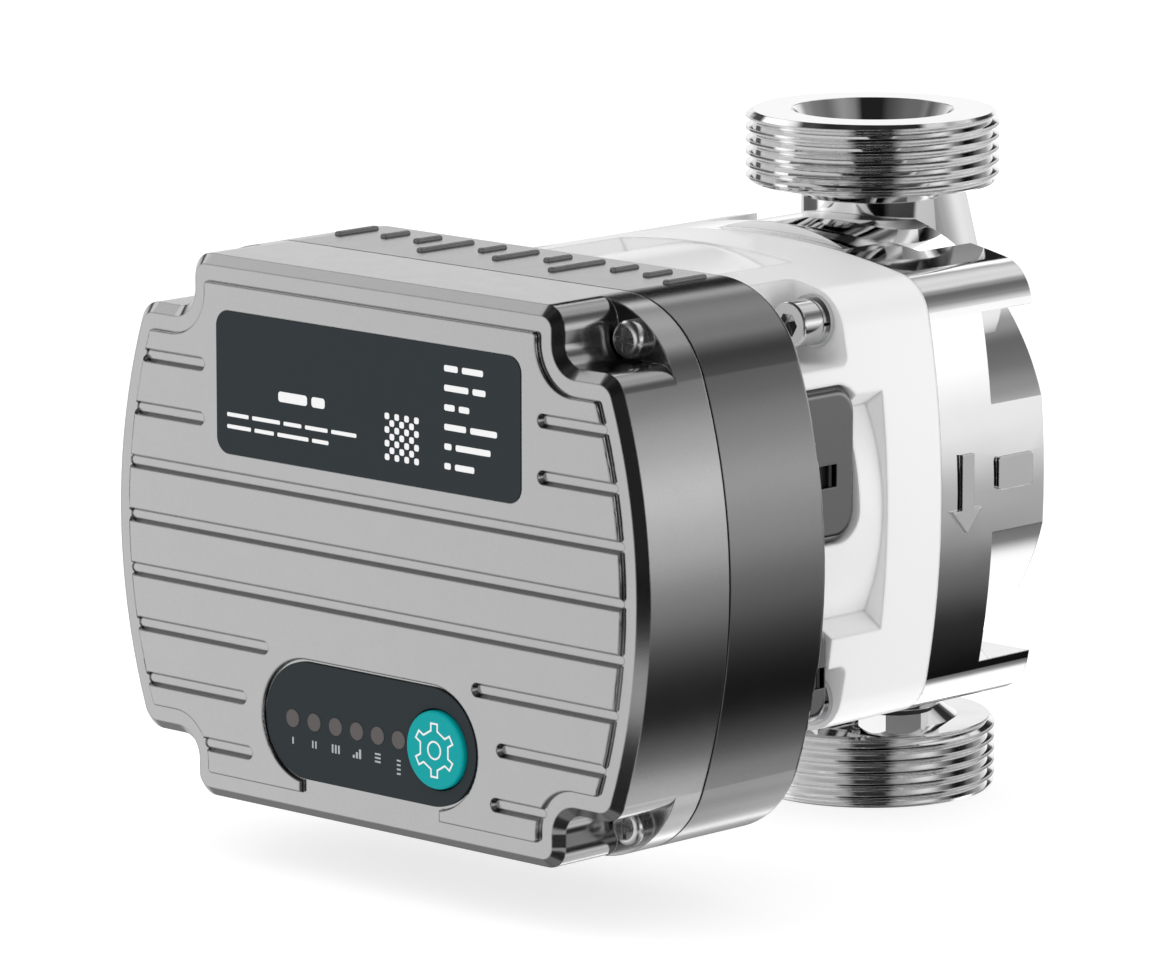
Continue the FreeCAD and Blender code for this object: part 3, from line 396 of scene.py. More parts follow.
SHELL_METAL = Finish(
    "satin_grey_shell", (0.245, 0.245, 0.245), 0.16, 1.0, Grain.FLAKE,
    grain_size=0.00035, grain_depth=0.0000012, tone_swing=0.05, edge_radius=0.00035,
)
BOLT_STEEL = Finish(
    "bright_bolt_steel", (0.74, 0.74, 0.74), 0.13, 1.0, Grain.BRUSHED,
    grain_size=0.0005, grain_depth=0.0000015,
)
WASHER_STEEL = Finish(
    "zinc_washer_steel", (0.70, 0.70, 0.71), 0.2, 1.0, Grain.BRUSHED,
    grain_size=0.0004, grain_depth=0.000002,
)
SCREW_STEEL = Finish(
    "nickel_screw_steel", (0.80, 0.80, 0.80), 0.27, 1.0, Grain.BRUSHED,
    grain_size=0.0004, grain_depth=0.0000015, edge_radius=0.00015,
)
SHAFT_STEEL = Finish(
    "ground_shaft_steel", (0.72, 0.72, 0.72), 0.1, 1.0, Grain.BRUSHED,
    grain_size=0.0003, grain_depth=0.000001,
)
CORE_STEEL = Finish(
    "laminated_core_steel", (0.30, 0.30, 0.31), 0.36, 0.9, Grain.LAMINATED,
    grain_size=0.0005, grain_depth=0.00004,
)
MAGNET = Finish(
    "nickel_plated_magnet", (0.45, 0.44, 0.42), 0.24, 1.0, Grain.PEEL,
)
CERAMIC = Finish(
    "fired_ceramic", (0.82, 0.80, 0.74), 0.28, 0.0, Grain.PEEL, coat=0.3,
)
COPPER = Finish(
    "enamelled_copper_wire", (0.78, 0.33, 0.14), 0.28, 1.0, Grain.WOUND,
    grain_size=0.0007, grain_depth=0.00016, tone_swing=0.3,
)
BRASS = Finish(
    "bright_brass", (0.78, 0.57, 0.26), 0.22, 1.0, Grain.BRUSHED,
)
RUBBER = Finish(
    "black_rubber", (0.012, 0.012, 0.012), 0.55, 0.0, Grain.MOULDED,
    grain_size=0.0005, specular=0.3,
)
BLACK_PLASTIC = Finish(
    "black_moulded_plastic", (0.014, 0.014, 0.015), 0.36, 0.0, Grain.MOULDED,
    specular=0.4,
)
GLAND_PLASTIC = Finish(
    "black_gland_nylon", (0.018, 0.018, 0.019), 0.32, 0.0, Grain.MOULDED,
    grain_size=0.0006,
)
IMPELLER_PLASTIC = Finish(
    "glass_filled_impeller_plastic", (0.72, 0.70, 0.64), 0.42, 0.0, Grain.MOULDED,
    grain_size=0.0006, tone_swing=0.1,
)
INSULATOR = Finish(
    "natural_insulator_plastic", (0.80, 0.78, 0.72), 0.4, 0.0, Grain.MOULDED,
)
SLATE_FILM = Finish(
    "matt_slate_film", (0.029, 0.0365, 0.0405), 0.5, 0.0, Grain.MOULDED,
    grain_size=0.0003, grain_depth=0.0000008, tone_swing=0.05, specular=0.06,
)
SMOKED_WINDOW = Finish(
    "smoked_lamp_window", (0.112, 0.1, 0.1), 0.4, 0.0, Grain.MOULDED,
    grain_size=0.0002, grain_depth=0.0000005, specular=0.1,
)
TEAL_CAP = Finish(
    "teal_button_plastic", (0.0005, 0.335, 0.345), 0.4, 0.0, Grain.MOULDED,
    grain_size=0.0003, grain_depth=0.000001, tone_swing=0.03, specular=0.12,
)
WHITE_PRINT = Finish(
    "white_screen_print", (0.86, 0.86, 0.86), 0.5, 0.0, Grain.MOULDED,
    grain_size=0.0002, grain_depth=0.0000005, tone_swing=0.03, specular=0.2,
)
GREY_PRINT = Finish(
    "grey_screen_print", (0.42, 0.44, 0.45), 0.5, 0.0, Grain.MOULDED,
    grain_size=0.0002, grain_depth=0.0000005, tone_swing=0.03, specular=0.2,
)
BOARD = Finish(
    "green_solder_mask", (0.010, 0.115, 0.042), 0.26, 0.0, Grain.TRACKS,
    grain_size=0.0035, grain_depth=0.00003, tone_swing=0.45, coat=0.3,
)
SLEEVE = Finish(
    "capacitor_sleeve_film", (0.018, 0.022, 0.045), 0.26, 0.0, Grain.MOULDED,
    coat=0.3,
)
FERRITE_GREEN = Finish(
    "green_choke_coating", (0.03, 0.21, 0.09), 0.34, 0.0, Grain.PEEL,
)
FILM_BLUE = Finish(
    "blue_film_case", (0.02, 0.10, 0.42), 0.34, 0.0, Grain.MOULDED,
)
THERMAL_PAD = Finish(
    "grey_thermal_pad", (0.30, 0.32, 0.34), 0.62, 0.0, Grain.PEEL,
)
TERMINAL_GREEN = Finish(
    "green_terminal_plastic", (0.02, 0.27, 0.10), 0.36, 0.0, Grain.MOULDED,
)
SOCKET_WHITE = Finish(
    "white_socket_plastic", (0.78, 0.78, 0.75), 0.4, 0.0, Grain.MOULDED,
)
LAMP_WHITE = Finish(
    "milky_lamp_lens", (0.82, 0.83, 0.80), 0.22, 0.0, Grain.MOULDED, coat=0.3,
)


# ------------------------------------------------------------- shared pieces


def dress(frame: dict[str, Any], node: str, finish: Finish) -> None:
    """Gives a frame node its finish.

    Args:
        node: the node's name.
        finish: the finish for all of its surface.
    """
    piece = frame["nodes"][node]
    for material_slot in piece.material_slots:
        material_slot.material = finish.material()
    LOG.info("dressed %s in %s", node, finish.name)


def finished_piece(
    shape: bmesh.types.BMesh, name: str, body: str, finish: Finish
) -> bpy.types.Object:
    """Turns a bmesh into a piece that rides on a body.

    Args:
        shape: the shape, in place and in metres; it is freed.
        name: the piece's name.
        body: the body that it moves with.
        finish: its surface finish.

    Returns:
        The new object, at the origin and unturned.
    """
    bmesh.ops.remove_doubles(shape, verts=shape.verts, dist=SAME_POINT)
    bmesh.ops.recalc_face_normals(shape, faces=shape.faces)
    mesh = bpy.data.meshes.new(name)
    shape.to_mesh(mesh)
    shape.free()
    mesh.materials.append(finish.material())
    piece = bpy.data.objects.new(name, mesh)
    bpy.context.scene.collection.objects.link(piece)
    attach(piece, body)
    LOG.info("built %s on %s", name, body)
    return piece


def facing_front(x: float, y: float, z: float) -> Matrix:
    """Turns a flat shape drawn in X and Y to face the front at a point."""
    return Matrix.Translation((x, y, z)) @ Matrix.Rotation(math.pi / 2, 4, "X")


def add_bar(
    shape: bmesh.types.BMesh,
    centre: tuple[float, float, float],
    width: float,
    height: float,
    corner: float,
    thickness: float,
) -> None:
    """Adds a thin round-cornered bar that faces the front.

    Args:
        shape: where the bar goes.
        centre: the middle of its front face.
        width: its size along X.
        height: its size along Z.
        corner: the radius of its corners.
        thickness: how far it reaches back from its front face.
    """
    earlier = set(shape.verts)
    flat = bmesh.ops.create_grid(shape, x_segments=1, y_segments=1, size=0.5)
    bmesh.ops.scale(shape, vec=(width, height, 1.0), verts=flat["verts"])
    bmesh.ops.bevel(
        shape, geom=flat["verts"], offset=corner, segments=3, profile=0.5,
        affect="VERTICES", material=-1,
    )
    raise_flat(shape, [v for v in shape.verts if v not in earlier], thickness)
    bmesh.ops.transform(
        shape,
        matrix=facing_front(*centre),
        verts=[v for v in shape.verts if v not in earlier],
    )


def raise_flat(
    shape: bmesh.types.BMesh, points: list[bmesh.types.BMVert], thickness: float
) -> None:
    """Gives the flat faces on these points a thickness, behind their front."""
    faces = list({f for v in points for f in v.link_faces})
    grown = bmesh.ops.extrude_face_region(shape, geom=faces, use_keep_orig=True)
    moved = [g for g in grown["geom"] if isinstance(g, bmesh.types.BMVert)]
    bmesh.ops.translate(shape, vec=(0.0, 0.0, -thickness), verts=moved)


# -------------------------------------------------------------- sub-assemblies


@dataclass
class SubAssembly:
    """A group of frame nodes with the finish of each."""

    finishes: dict[str, Finish] = field(default_factory=dict)

    def dress(self, frame: dict[str, Any]) -> None:
        """Gives every node of the group its finish."""
        for node, finish in self.finishes.items():
            dress(frame, node, finish)

    def build(self, frame: dict[str, Any]) -> None:
        """Adds the group's own new pieces; a plain group has none."""


@dataclass
class Volute(SubAssembly):
    """The polished water housing with its two threaded ports."""

    finishes: dict[str, Finish] = field(
        default_factory=lambda: {
            "volute_housing": CAST_STAINLESS,
            "neck_ring": STAINLESS,
            "housing_gasket": RUBBER,
            "drain_plug": STAINLESS,
            "drain_washer": RUBBER,
        }
    )


@dataclass
class MotorHousing(SubAssembly):
    """The white motor housing with its bolts and washers."""

    finishes: dict[str, Finish] = field(
        default_factory=lambda: {
            "motor_housing": WHITE_PAINT,
            "housing_bolts": BOLT_STEEL,
            "bolt_washers": WASHER_STEEL,
            "spring_washers": WASHER_STEEL,
        }
    )


@dataclass
class WetMotor(SubAssembly):
    """The canned rotor, its bearings, the stator and the impeller."""

    finishes: dict[str, Finish] = field(
        default_factory=lambda: {
            "bearing_plate": STAINLESS,
            "front_bearing": CERAMIC,
            "rear_bearing": CERAMIC,
            "bearing_carrier": RUBBER,
            "rotor_can": STAINLESS,
            "stator_core": CORE_STEEL,
            "stator_insulators": INSULATOR,
            "stator_coils": COPPER,
            "stator_connector": BLACK_PLASTIC,
            "shaft": SHAFT_STEEL,
            "rotor_core": CORE_STEEL,
            "rotor_magnets": MAGNET,
            "rotor_sleeve": STAINLESS,
            "rotor_end_caps": STAINLESS,
            "thrust_collar": CERAMIC,
            "impeller_hub": IMPELLER_PLASTIC,
            "impeller_vanes": IMPELLER_PLASTIC,
            "impeller_shroud": IMPELLER_PLASTIC,
            "impeller_nut": STAINLESS,
        }
    )


@dataclass
class ControlBox(SubAssembly):
    """The two halves of the control box with what closes them."""

    finishes: dict[str, Finish] = field(
        default_factory=lambda: {
            "control_box_front": COVER_METAL,
            "control_box_rear": SHELL_METAL,
            "cover_gasket": RUBBER,
            "cover_screws": SCREW_STEEL,
            "latch_hooks": BLACK_PLASTIC,
            "box_gasket": RUBBER,
            "box_screws": SCREW_STEEL,
        }
    )


@dataclass
class CableEntry(SubAssembly):
    """The cable gland in the side of the control box."""

    finishes: dict[str, Finish] = field(
        default_factory=lambda: {
            "cable_gland_body": GLAND_PLASTIC,
            "gland_washer": RUBBER,
            "gland_nut": GLAND_PLASTIC,
            "gland_seal": RUBBER,
            "gland_locknut": GLAND_PLASTIC,
        }
    )


@dataclass
class Electronics(SubAssembly):
    """The controller board and what stands on it."""

    finishes: dict[str, Finish] = field(
        default_factory=lambda: {
            "controller_board": BOARD,
            "board_screws": SCREW_STEEL,
            "capacitors": SLEEVE,
            "line_choke": FERRITE_GREEN,
            "film_capacitor": FILM_BLUE,
            "power_module": BLACK_PLASTIC,
            "thermal_pad": THERMAL_PAD,
            "terminal_block": TERMINAL_GREEN,
            "phase_socket": SOCKET_WHITE,
            "tactile_switch": BLACK_PLASTIC,
            "leds": LAMP_WHITE,
            "earth_screw": BRASS,
        }
    )


@dataclass
class Fascia(SubAssembly):
    """The rating plate, the display and the mode button with their print.

    Sizes are in millimetres, and so are places along X and Z. A word is a plain
    bar; a row is a level with the lengths of its words.
    """

    finishes: dict[str, Finish] = field(
        default_factory=lambda: {
            "label_plate": SLATE_FILM,
            "display_panel": SLATE_FILM,
            "led_windows": SMOKED_WINDOW,
            "mode_button": TEAL_CAP,
            "button_seal": RUBBER,
        }
    )
    ink_proud: float = 0.02
    ink_depth: float = 0.12
    corner_share: float = 0.3
    rating_rows: tuple[tuple[float, ...], ...] = (
        (3.4, 5.2), (6.0, 3.2), (2.6, 2.6), (5.4, 6.6), (1.8, 8.6), (1.6, 4.8),
    )
    rating_left: float = 19.6
    rating_top: float = 99.4
    rating_pitch: float = 3.5
    rating_height: float = 1.15
    rating_gap: float = 1.0
    title_bars: tuple[tuple[float, float], ...] = ((-18.6, 7.4), (-12.1, 3.4))
    title_level: float = 89.3
    title_height: float = 1.9
    small_rows: tuple[tuple[float, tuple[float, ...]], ...] = (
        (84.5, (5.6, 7.2, 4.6, 5.8, 6.4)),
        (82.3, (6.2, 5.0, 8.0, 4.2)),
    )
    small_left: float = -35.6
    small_height: float = 0.75
    small_gap: float = 0.9
    code_centre: tuple[float, float] = (9.0, 85.4)
    code_size: float = 8.6
    code_cells: int = 7
    code_fill: float = 0.96
    window_places: tuple[float, ...] = (-19.7, -14.2, -8.7, -3.3, 2.0, 7.3)
    mark_level: float = 26.4
    # Under each window: (to the right, up, width, height) of its bars.
    level_marks: tuple[tuple[tuple[float, float, float, float], ...], ...] = (
        ((0.0, 0.0, 0.4, 1.3),),
        ((-0.4, 0.0, 0.4, 1.4), (0.4, 0.0, 0.4, 1.4)),
        ((-0.8, 0.0, 0.45, 1.6), (0.0, 0.0, 0.45, 1.6), (0.8, 0.0, 0.45, 1.6)),
        ((-0.8, -0.6, 0.55, 0.6), (0.0, -0.3, 0.55, 1.2), (0.8, 0.0, 0.55, 1.8)),
        ((0.0, -0.7, 1.5, 0.35), (0.0, 0.0, 1.5, 0.35), (0.0, 0.7, 1.5, 0.35)),
        (
            (0.0, -2.1, 1.0, 0.35), (0.0, -1.3, 1.0, 0.35),
            (0.0, -0.5, 1.0, 0.35), (0.0, 0.3, 1.0, 0.35),
        ),
    )
    icon_centre: tuple[float, float] = (17.1, 30.2)
    gear_sides: int = 12
    gear_radius: float = 3.75
    gear_reach: float = 5.15
    gear_line: float = 0.36
    hub_radius: float = 1.75
    hub_sides: int = 40

    def build(self, frame: dict[str, Any]) -> None:
        """Prints the plate, the display and the button."""
        self._print_plate()
        self._print_display()
        self._print_button()

    def _front(self, node: str) -> float:
        """The Y of a print's front face on a node, in metres."""
        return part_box(node)[0].y - self.ink_proud * MM

    def _bar(
        self, shape: bmesh.types.BMesh, x: float, z: float, y: float,
        width: float, height: float,
    ) -> None:
        """Adds one printed bar.

        Args:
            shape: where it goes.
            x: its middle along X, in millimetres.
            z: its middle along Z, in millimetres.
            y: its front face, in metres.
            width: its size along X, in millimetres.
            height: its size along Z, in millimetres.
        """
        add_bar(
            shape, (x * MM, y, z * MM), width * MM, height * MM,
            self.corner_share * min(width, height) * MM, self.ink_depth * MM,
        )

    def _row(
        self, shape: bmesh.types.BMesh, left: float, level: float, y: float,
        words: tuple[float, ...], height: float, gap: float,
    ) -> None:
        """Adds a row of printed bars from left to right.

        Args:
            shape: where they go.
            left: where the first bar starts.
            level: the middle of the row along Z.
            y: its front face, in metres.
            words: the length of each bar.
            height: the height of the bars.
            gap: the space between two bars.
        """
        for word in words:
            self._bar(shape, left + word / 2, level, y, word, height)
            left += word + gap

    def _print_plate(self) -> None:
        """Blank rows and a plain checked patch on the rating plate."""
        y = self._front("label_plate")
        shape = bmesh.new()
        for index, words in enumerate(self.rating_rows):
            level = self.rating_top - index * self.rating_pitch
            self._row(
                shape, self.rating_left, level, y, words,
                self.rating_height, self.rating_gap,
            )
        for middle, width in self.title_bars:
            self._bar(shape, middle, self.title_level, y, width, self.title_height)
        for level, words in self.small_rows:
            self._row(
                shape, self.small_left, level, y, words,
                self.small_height, self.small_gap,
            )
        finished_piece(
            shape, "rating_plate_print", "pump", WHITE_PRINT
        )
        self._print_patch(y)

    def _print_patch(self, y: float) -> None:
        """A plain check pattern where a scan code would be.

        Args:
            y: its front face, in metres.
        """
        shape = bmesh.new()
        pitch = self.code_size / self.code_cells
        half = (self.code_cells - 1) / 2
        side = pitch * self.code_fill
        for column in range(self.code_cells):
            for row in range(self.code_cells):
                if (column + row) % 2:
                    continue
                x = self.code_centre[0] + (column - half) * pitch
                z = self.code_centre[1] + (row - half) * pitch
                self._bar(shape, x, z, y, side, side)
        finished_piece(
            shape, "rating_plate_check", "pump", WHITE_PRINT
        )

    def _print_display(self) -> None:
        """Small level marks under the lamp windows."""
        y = self._front("display_panel")
        shape = bmesh.new()
        for x, marks in zip(self.window_places, self.level_marks):
            for right, up, width, height in marks:
                self._bar(shape, x + right, self.mark_level + up, y, width, height)
        finished_piece(
            shape, "display_level_marks", "pump", GREY_PRINT
        )

    def _print_button(self) -> None:
        """A plain gear outline on the button's cap."""
        shape = bmesh.new()
        self._add_gear(shape)
        self._add_hub(shape)
        x, z = self.icon_centre
        bmesh.ops.transform(
            shape,
            matrix=facing_front(x * MM, self._front("mode_button"), z * MM),
            verts=shape.verts,
        )
        finished_piece(
            shape, "button_gear_print", "button", WHITE_PRINT
        )

    def _add_gear(self, shape: bmesh.types.BMesh) -> None:
        """Adds the gear's outline: every second side is drawn out to a tooth."""
        side = 360.0 / self.gear_sides
        bmesh.ops.create_circle(
            shape, cap_ends=True, radius=self.gear_radius * MM,
            segments=self.gear_sides,
        )
        bmesh.ops.rotate(
            shape,
            matrix=Matrix.Rotation(math.radians(side / 2), 3, "Z"),
            verts=shape.verts,
        )
        flanks = [
            edge
            for edge in shape.edges
            if round(self._edge_angle(edge) / side) % 2 == 1
        ]
        for flank in flanks:
            outward = (flank.verts[0].co + flank.verts[1].co).normalized()
            grown = bmesh.ops.extrude_edge_only(shape, edges=[flank])
            tips = [g for g in grown["geom"] if isinstance(g, bmesh.types.BMVert)]
            reach = (self.gear_reach - self.gear_radius) * MM
            bmesh.ops.translate(shape, vec=outward * reach, verts=tips)
        bmesh.ops.remove_doubles(shape, verts=shape.verts, dist=SAME_POINT)
        bmesh.ops.recalc_face_normals(shape, faces=shape.faces)
        bmesh.ops.dissolve_faces(shape, faces=list(shape.faces))
        self._keep_outline(shape, list(shape.faces))

    @staticmethod
    def _edge_angle(edge: bmesh.types.BMEdge) -> float:
        """The bearing of an edge's middle, in degrees."""
        middle = edge.verts[0].co + edge.verts[1].co
        return math.degrees(math.atan2(middle.y, middle.x)) % 360.0

    def _add_hub(self, shape: bmesh.types.BMesh) -> None:
        """Adds the ring at the gear's middle."""
        disc = bmesh.ops.create_circle(
            shape, cap_ends=True, radius=self.hub_radius * MM,
            segments=self.hub_sides,
        )
        faces = list({f for v in disc["verts"] for f in v.link_faces})
        self._keep_outline(shape, faces)

    def _keep_outline(
        self, shape: bmesh.types.BMesh, faces: list[bmesh.types.BMFace]
    ) -> None:
        """Keeps only a line of even width along a flat face's edge.

        Args:
            shape: where the face is.
            faces: the flat face.
        """
        rim = bmesh.ops.inset_region(
            shape, faces=faces, thickness=self.gear_line * MM,
            use_even_offset=True, use_boundary=True,
        )["faces"]
        bmesh.ops.delete(shape, geom=faces, context="FACES")
        points = list({v for f in rim for v in f.verts})
        raise_flat(shape, points, self.ink_depth * MM)


# -------------------------------------------------------------------- studio


@dataclass(frozen=True)
class Wall:
    """One side of the studio, as the shine on the pump sees it.

    The bearing is in degrees. The bands run from straight down to straight up,
    as (elevation in degrees, brightness).
    """

    bearing: float
    bands: tuple[tuple[float, float], ...]

    def stops(self, brightest: float) -> list[tuple[float, float]]:
        """The bands as ramp stops, with the brightest value at 1."""
        return [((e + 90.0) / 180.0, b / brightest) for e, b in self.bands]


REAR_BANDS = (
    (-90, 0.2), (-60, 0.3), (-48, 0.7), (-43, 1.8), (-37, 1.8), (-31, 0.5),
    (-26, 0.03), (-20, 0.1), (-11, 0.5), (-4, 1.1), (3, 1.5), (10, 1.15),
    (16, 0.35), (22, 0.06), (31, 0.06), (35, 0.5), (38, 1.0), (44, 1.1),
    (62, 1.1), (67, 0.03), (90, 0.03),
)
UNLIT_BANDS = (
    (-90, 0.1), (-60, 0.05), (-30, 0.04), (-26, 0.9), (-20.5, 0.9),
    (-16, 0.04), (14, 0.04), (40, 0.02), (90, 0.03),
)
WALLS = (
    Wall(-180.0, REAR_BANDS),
    Wall(-157.0, (
        (-90, 0.2), (-60, 0.1), (-46, 0.1), (-42, 1.4), (-37, 3.8), (-33, 1.6),
        (-28, 0.2), (-20, 0.3), (-11, 0.55), (-4, 1.05), (3, 1.4), (11, 1.2),
        (15, 0.15), (20, 0.02), (29, 0.02), (32, 1.6), (36, 1.6), (39, 0.4),
        (44, 1.0), (60, 1.0), (65, 0.03), (90, 0.03),
    )),
    Wall(-138.0, (
        (-90, 0.2), (-60, 0.06), (-34, 0.06), (-29, 1.0), (-24, 0.6),
        (-20, 0.4), (-12, 0.6), (-4, 1.0), (4, 1.35), (12, 1.25), (15, 0.15),
        (19, 0.02), (31, 0.02), (34, 2.2), (36, 2.2), (39, 0.03), (90, 0.03),
    )),
    Wall(-122.0, (
        (-90, 0.2), (-60, 0.1), (-36, 0.1), (-28, 0.9), (-15, 0.8),
        (0, 1.1), (10, 1.2), (16, 0.15), (24, 0.03), (90, 0.03),
    )),
    Wall(-106.0, (
        (-90, 0.2), (-60, 0.3), (-40, 0.5), (-30, 0.9), (-15, 1.0), (5, 1.2),
        (14, 1.0), (20, 0.1), (26, 0.1), (30, 1.4), (44, 1.4), (50, 0.03),
        (90, 0.03),
    )),
    Wall(-84.0, (
        (-90, 0.2), (-60, 0.3), (-40, 0.5), (-30, 0.8), (-15, 0.9), (5, 1.0),
        (14, 0.6), (20, 0.1), (26, 0.1), (30, 1.8), (50, 1.8), (56, 0.03),
        (90, 0.03),
    )),
    Wall(-60.0, (
        (-90, 0.2), (-60, 0.5), (-40, 0.7), (-30, 0.9), (-18, 1.2), (2, 1.2),
        (14, 0.7), (24, 0.1), (50, 0.1), (90, 0.03),
    )),
    Wall(-49.0, (
        (-90, 0.2), (-60, 0.5), (-45, 0.7), (-30, 1.3), (-20, 1.65), (0, 1.65),
        (14, 1.0), (24, 0.3), (50, 0.2), (62, 0.03), (90, 0.03),
    )),
    Wall(-38.0, (
        (-90, 0.2), (-60, 0.5), (-45, 0.6), (-30, 1.0), (-20, 1.25), (0, 1.25),
        (14, 0.8), (24, 0.2), (50, 0.2), (62, 0.03), (90, 0.03),
    )),
    Wall(-15.0, (
        (-90, 0.2), (-60, 0.5), (-45, 0.6), (-30, 0.9), (-18, 1.1), (0, 1.1),
        (14, 0.8), (30, 0.2), (50, 0.1), (90, 0.03),
    )),
    Wall(16.0, (
        (-90, 0.2), (-60, 0.5), (-45, 0.6), (-30, 0.9), (-18, 1.1), (0, 1.1),
        (14, 0.8), (30, 0.1), (50, 0.03), (90, 0.03),
    )),
    Wall(27.0, UNLIT_BANDS),
    Wall(60.0, UNLIT_BANDS),
    Wall(72.0, (
        (-90, 0.2), (-60, 0.2), (-40, 0.6), (-28, 0.9), (-12, 1.0), (5, 1.2),
        (14, 0.8), (24, 0.1), (38, 0.3), (50, 0.1), (90, 0.03),
    )),
    Wall(92.0, (
        (-90, 0.2), (-60, 0.3), (-45, 0.5), (-38, 1.1), (-30, 0.7), (-24, 0.1),
        (-12, 0.6), (-4, 1.4), (5, 1.6), (14, 0.9), (24, 0.1), (38, 0.5),
        (50, 0.3), (62, 0.03), (90, 0.03),
    )),
    Wall(125.0, (
        (-90, 0.2), (-60, 0.3), (-44, 0.8), (-38, 1.4), (-31, 0.3), (-26, 0.02),
        (-20, 0.08), (-12, 0.55), (-4, 1.2), (3, 1.6), (10, 1.1), (17, 0.4),
        (30, 0.2), (39, 0.9), (45, 0.5), (54, 0.9), (62, 0.9), (67, 0.03),
        (90, 0.03),
    )),
    Wall(155.0, (
        (-90, 0.2), (-60, 0.3), (-48, 0.5), (-43, 0.7), (-40, 1.5), (-36, 1.45),
        (-31, 0.27), (-27, 0.0), (-22, 0.02), (-18, 0.22), (-11, 0.6),
        (-4, 1.25), (3, 1.7), (10, 1.05), (17, 0.4), (24, 0.22), (30, 0.2),
        (35, 0.45), (39, 1.05), (43, 0.7), (50, 0.5), (56, 1.0), (62, 1.0),
        (67, 0.03), (90, 0.03),
    )),
    Wall(180.0, REAR_BANDS),
)


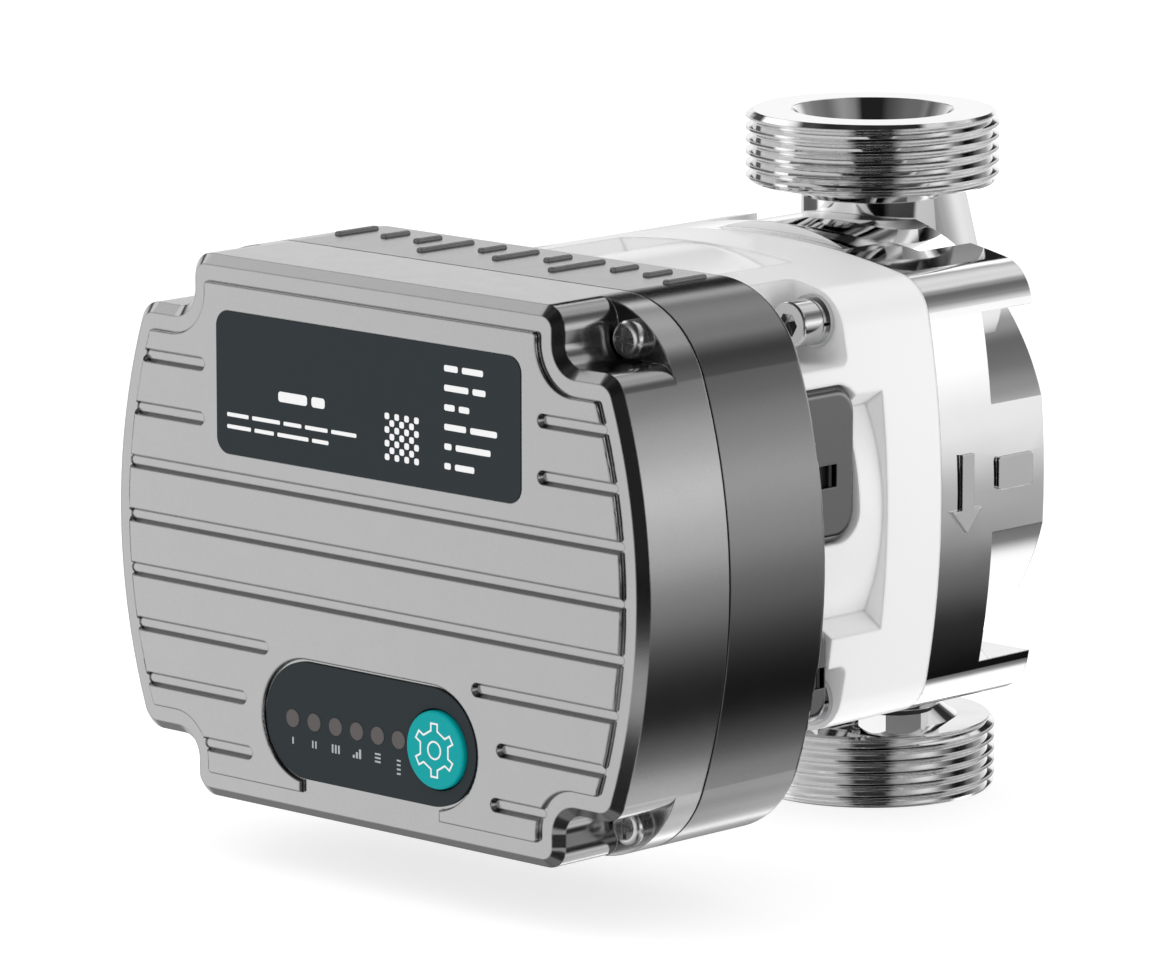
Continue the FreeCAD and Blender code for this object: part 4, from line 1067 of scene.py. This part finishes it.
@dataclass
class Studio:
    """Floor, surroundings, lamp and camera.

    Bearings are in degrees round the pump: 0 in front of it, 90 at its right.
    The rail's runs are (bearing, strength) stops along its length.
    """

    floor_size: float = 24.0
    floor_tone: float = 0.45
    floor_glow: float = 0.72
    brightest: float = 5.0
    ambient: float = 1.1
    backdrop: float = 1.05
    lamp_place: tuple[float, float, float] = (-0.6, -1.3, 2.0)
    lamp_aim: tuple[float, float, float] = (0.0, -0.05, 0.06)
    lamp_width: float = 1.6
    lamp_power: float = 9.0
    camera_place: tuple[float, float, float] = (1.01683, -1.14334, 0.34148)
    camera_right: tuple[float, float, float] = (0.7227292, 0.6911308, -0.0008811)
    camera_up: tuple[float, float, float] = (-0.1252354, 0.1322147, 0.9832779)
    lens: float = 254.4
    sensor_width: float = 36.0
    nearest: float = 0.05
    farthest: float = 60.0
    walls: tuple[Wall, ...] = WALLS
    rail_height: float = -10.5
    rail_half: float = 2.6
    rail_edge: float = 1.4
    rail_light: float = 0.06
    rail_runs: tuple[tuple[float, float], ...] = (
        (-180.0, 0.0), (-112.0, 0.0), (-106.0, 0.9), (-62.0, 0.9), (-56.0, 0.0),
        (-38.0, 0.0), (-32.0, 0.4), (8.0, 0.4), (16.0, 1.0), (112.0, 1.0),
        (122.0, 0.0), (180.0, 0.0),
    )

    def build(self) -> None:
        """Sets up the whole studio."""
        self._lay_floor()
        self._hang_walls()
        self._place_lamp()
        self._place_camera()
        bpy.context.scene.view_settings.view_transform = "Standard"

    def _lay_floor(self) -> None:
        """A plain pale floor that the shine on the pump doesn't see."""
        shape = bmesh.new()
        bmesh.ops.create_grid(
            shape, x_segments=1, y_segments=1, size=self.floor_size / 2
        )
        mesh = bpy.data.meshes.new("floor")
        shape.to_mesh(mesh)
        shape.free()
        floor = bpy.data.objects.new("floor", mesh)
        bpy.context.scene.collection.objects.link(floor)
        made = bpy.data.materials.new("pale_floor")
        made.use_nodes = True
        graph = Graph(made.node_tree)
        paper = graph.node(
            "ShaderNodeBsdfDiffuse", None, {"Color": (self.floor_tone,) * 3}
        )
        glow = graph.node(
            "ShaderNodeEmission",
            None,
            {"Color": (1.0, 1.0, 1.0), "Strength": self.floor_glow},
        )
        shader = graph.node("ShaderNodeAddShader", None, {0: paper, 1: glow})
        graph.node("ShaderNodeOutputMaterial", None, {"Surface": shader})
        mesh.materials.append(made)
        floor.visible_glossy = False
        LOG.info("laid the floor")

    def _hang_walls(self) -> None:
        """The surroundings: white to the eye, banded for the shine."""
        world = bpy.data.worlds.new("studio")
        world.use_nodes = True
        world.cycles.sampling_method = "NONE"
        bpy.context.scene.world = world
        graph = Graph(world.node_tree)
        shine = self._shine(graph)
        glossy = graph.node("ShaderNodeLightPath", out="Is Glossy Ray")
        seen = graph.node("ShaderNodeLightPath", out="Is Camera Ray")
        plain = self.ambient * (1.0 - seen) + self.backdrop * seen
        strength = plain * (1.0 - glossy) + shine * glossy
        light = graph.node("ShaderNodeBackground", None, {"Strength": strength})
        graph.node("ShaderNodeOutputWorld", None, {"Surface": light})
        LOG.info("hung %d studio walls", len(self.walls))

    def _shine(self, graph: Graph) -> Signal:
        """The brightness that a reflection finds in each direction."""
        place = graph.node("ShaderNodeTexCoord", out="Generated")
        x = self._part(graph, place, "X")
        y = self._part(graph, place, "Y")
        z = self._part(graph, place, "Z")
        turn = self._one(graph, "ARCTAN2", x, 0.0 - y) * (180.0 / math.pi)
        rise = self._one(graph, "ARCSINE", z, 0.0) / math.pi + 0.5
        total: Signal | None = None
        for index, wall in enumerate(self.walls):
            ramp = graph.node(
                "ShaderNodeValToRGB",
                {"stops": wall.stops(self.brightest)},
                {"Fac": rise},
            )
            share = self._share(graph, turn, index)
            part = ramp * share
            total = part if total is None else total + part
        return total * self._rail(graph, turn, rise) * self.brightest

    def _rail(self, graph: Graph, turn: Signal, rise: Signal) -> Signal:
        """A thin dark rail below eye level, which draws the lines in the polish.

        Args:
            graph: where its nodes go.
            turn: the bearing, in degrees.
            rise: the elevation, from 0 straight down to 1 straight up.

        Returns:
            A factor, nearly 0 on the rail and 1 off it.
        """
        far = self.rail_half + self.rail_edge
        across = [
            ((self.rail_height + offset + 90.0) / 180.0, shade)
            for offset, shade in (
                (-far, 0.0), (-self.rail_half, 1.0), (self.rail_half, 1.0), (far, 0.0)
            )
        ]
        along = [((place + 180.0) / 360.0, shade) for place, shade in self.rail_runs]
        band = graph.node("ShaderNodeValToRGB", {"stops": across}, {"Fac": rise})
        run = graph.node(
            "ShaderNodeValToRGB", {"stops": along}, {"Fac": turn / 360.0 + 0.5}
        )
        return 1.0 - band * run * (1.0 - self.rail_light)

    def _share(self, graph: Graph, turn: Signal, index: int) -> Signal:
        """How much of one wall shows at a bearing, from 0 to 1.

        Args:
            graph: where its nodes go.
            turn: the bearing, in degrees.
            index: the wall's place in the row.

        Returns:
            A tent that is 1 at the wall's bearing and 0 at its neighbours'.
        """
        here = self.walls[index].bearing
        share: Signal | None = None
        if index > 0:
            before = self.walls[index - 1].bearing
            share = (turn - before) / (here - before)
        if index < len(self.walls) - 1:
            after = self.walls[index + 1].bearing
            falling = (after - turn) / (after - here)
            share = (
                falling
                if share is None
                else self._one(graph, "MINIMUM", share, falling)
            )
        limited = self._one(graph, "MAXIMUM", share, 0.0)
        return self._one(graph, "MINIMUM", limited, 1.0)

    @staticmethod
    def _one(graph: Graph, operation: str, first: Any, second: Any) -> Signal:
        """One Math node of the named operation."""
        return graph.node(
            "ShaderNodeMath", {"operation": operation}, {0: first, 1: second}
        )

    @staticmethod
    def _part(graph: Graph, vector: Signal, axis: str) -> Signal:
        """One component of a vector."""
        return graph.node(
            "ShaderNodeSeparateXYZ", None, {"Vector": vector}, out=axis
        )

    def _place_lamp(self) -> None:
        """A broad soft lamp, high up and to the pump's front left."""
        light = bpy.data.lights.new("soft_lamp", "AREA")
        light.shape = "DISK"
        light.size = self.lamp_width
        light.energy = self.lamp_power
        lamp = bpy.data.objects.new("soft_lamp", light)
        bpy.context.scene.collection.objects.link(lamp)
        lamp.visible_glossy = False
        lamp.visible_camera = False
        lamp.location = self.lamp_place
        aim = Vector(self.lamp_aim) - lamp.location
        lamp.rotation_euler = aim.to_track_quat("-Z", "Y").to_euler()
        LOG.info("placed the lamp")

    def _place_camera(self) -> None:
        """The camera, a little above the pump and to its front right."""
        data = bpy.data.cameras.new("camera")
        data.lens = self.lens
        data.sensor_width = self.sensor_width
        data.clip_start = self.nearest
        data.clip_end = self.farthest
        camera = bpy.data.objects.new("camera", data)
        bpy.context.scene.collection.objects.link(camera)
        right = Vector(self.camera_right)
        up = Vector(self.camera_up)
        turned = Matrix((right, up, right.cross(up))).transposed().to_4x4()
        camera.matrix_world = Matrix.Translation(self.camera_place) @ turned
        bpy.context.scene.camera = camera
        LOG.info("placed the camera")


def main() -> None:
    """Builds and dresses every sub-assembly around the frame."""
    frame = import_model()
    Studio().build()
    groups = (
        Volute(), MotorHousing(), WetMotor(), ControlBox(), CableEntry(),
        Electronics(), Fascia(),
    )
    for group in groups:
        group.dress(frame)
        group.build(frame)
    dressed = {node for group in groups for node in group.finishes}
    for node in sorted(set(frame["nodes"]) - dressed):
        LOG.warning("%s has no finish", node)


if __name__ == "__main__":
    main()
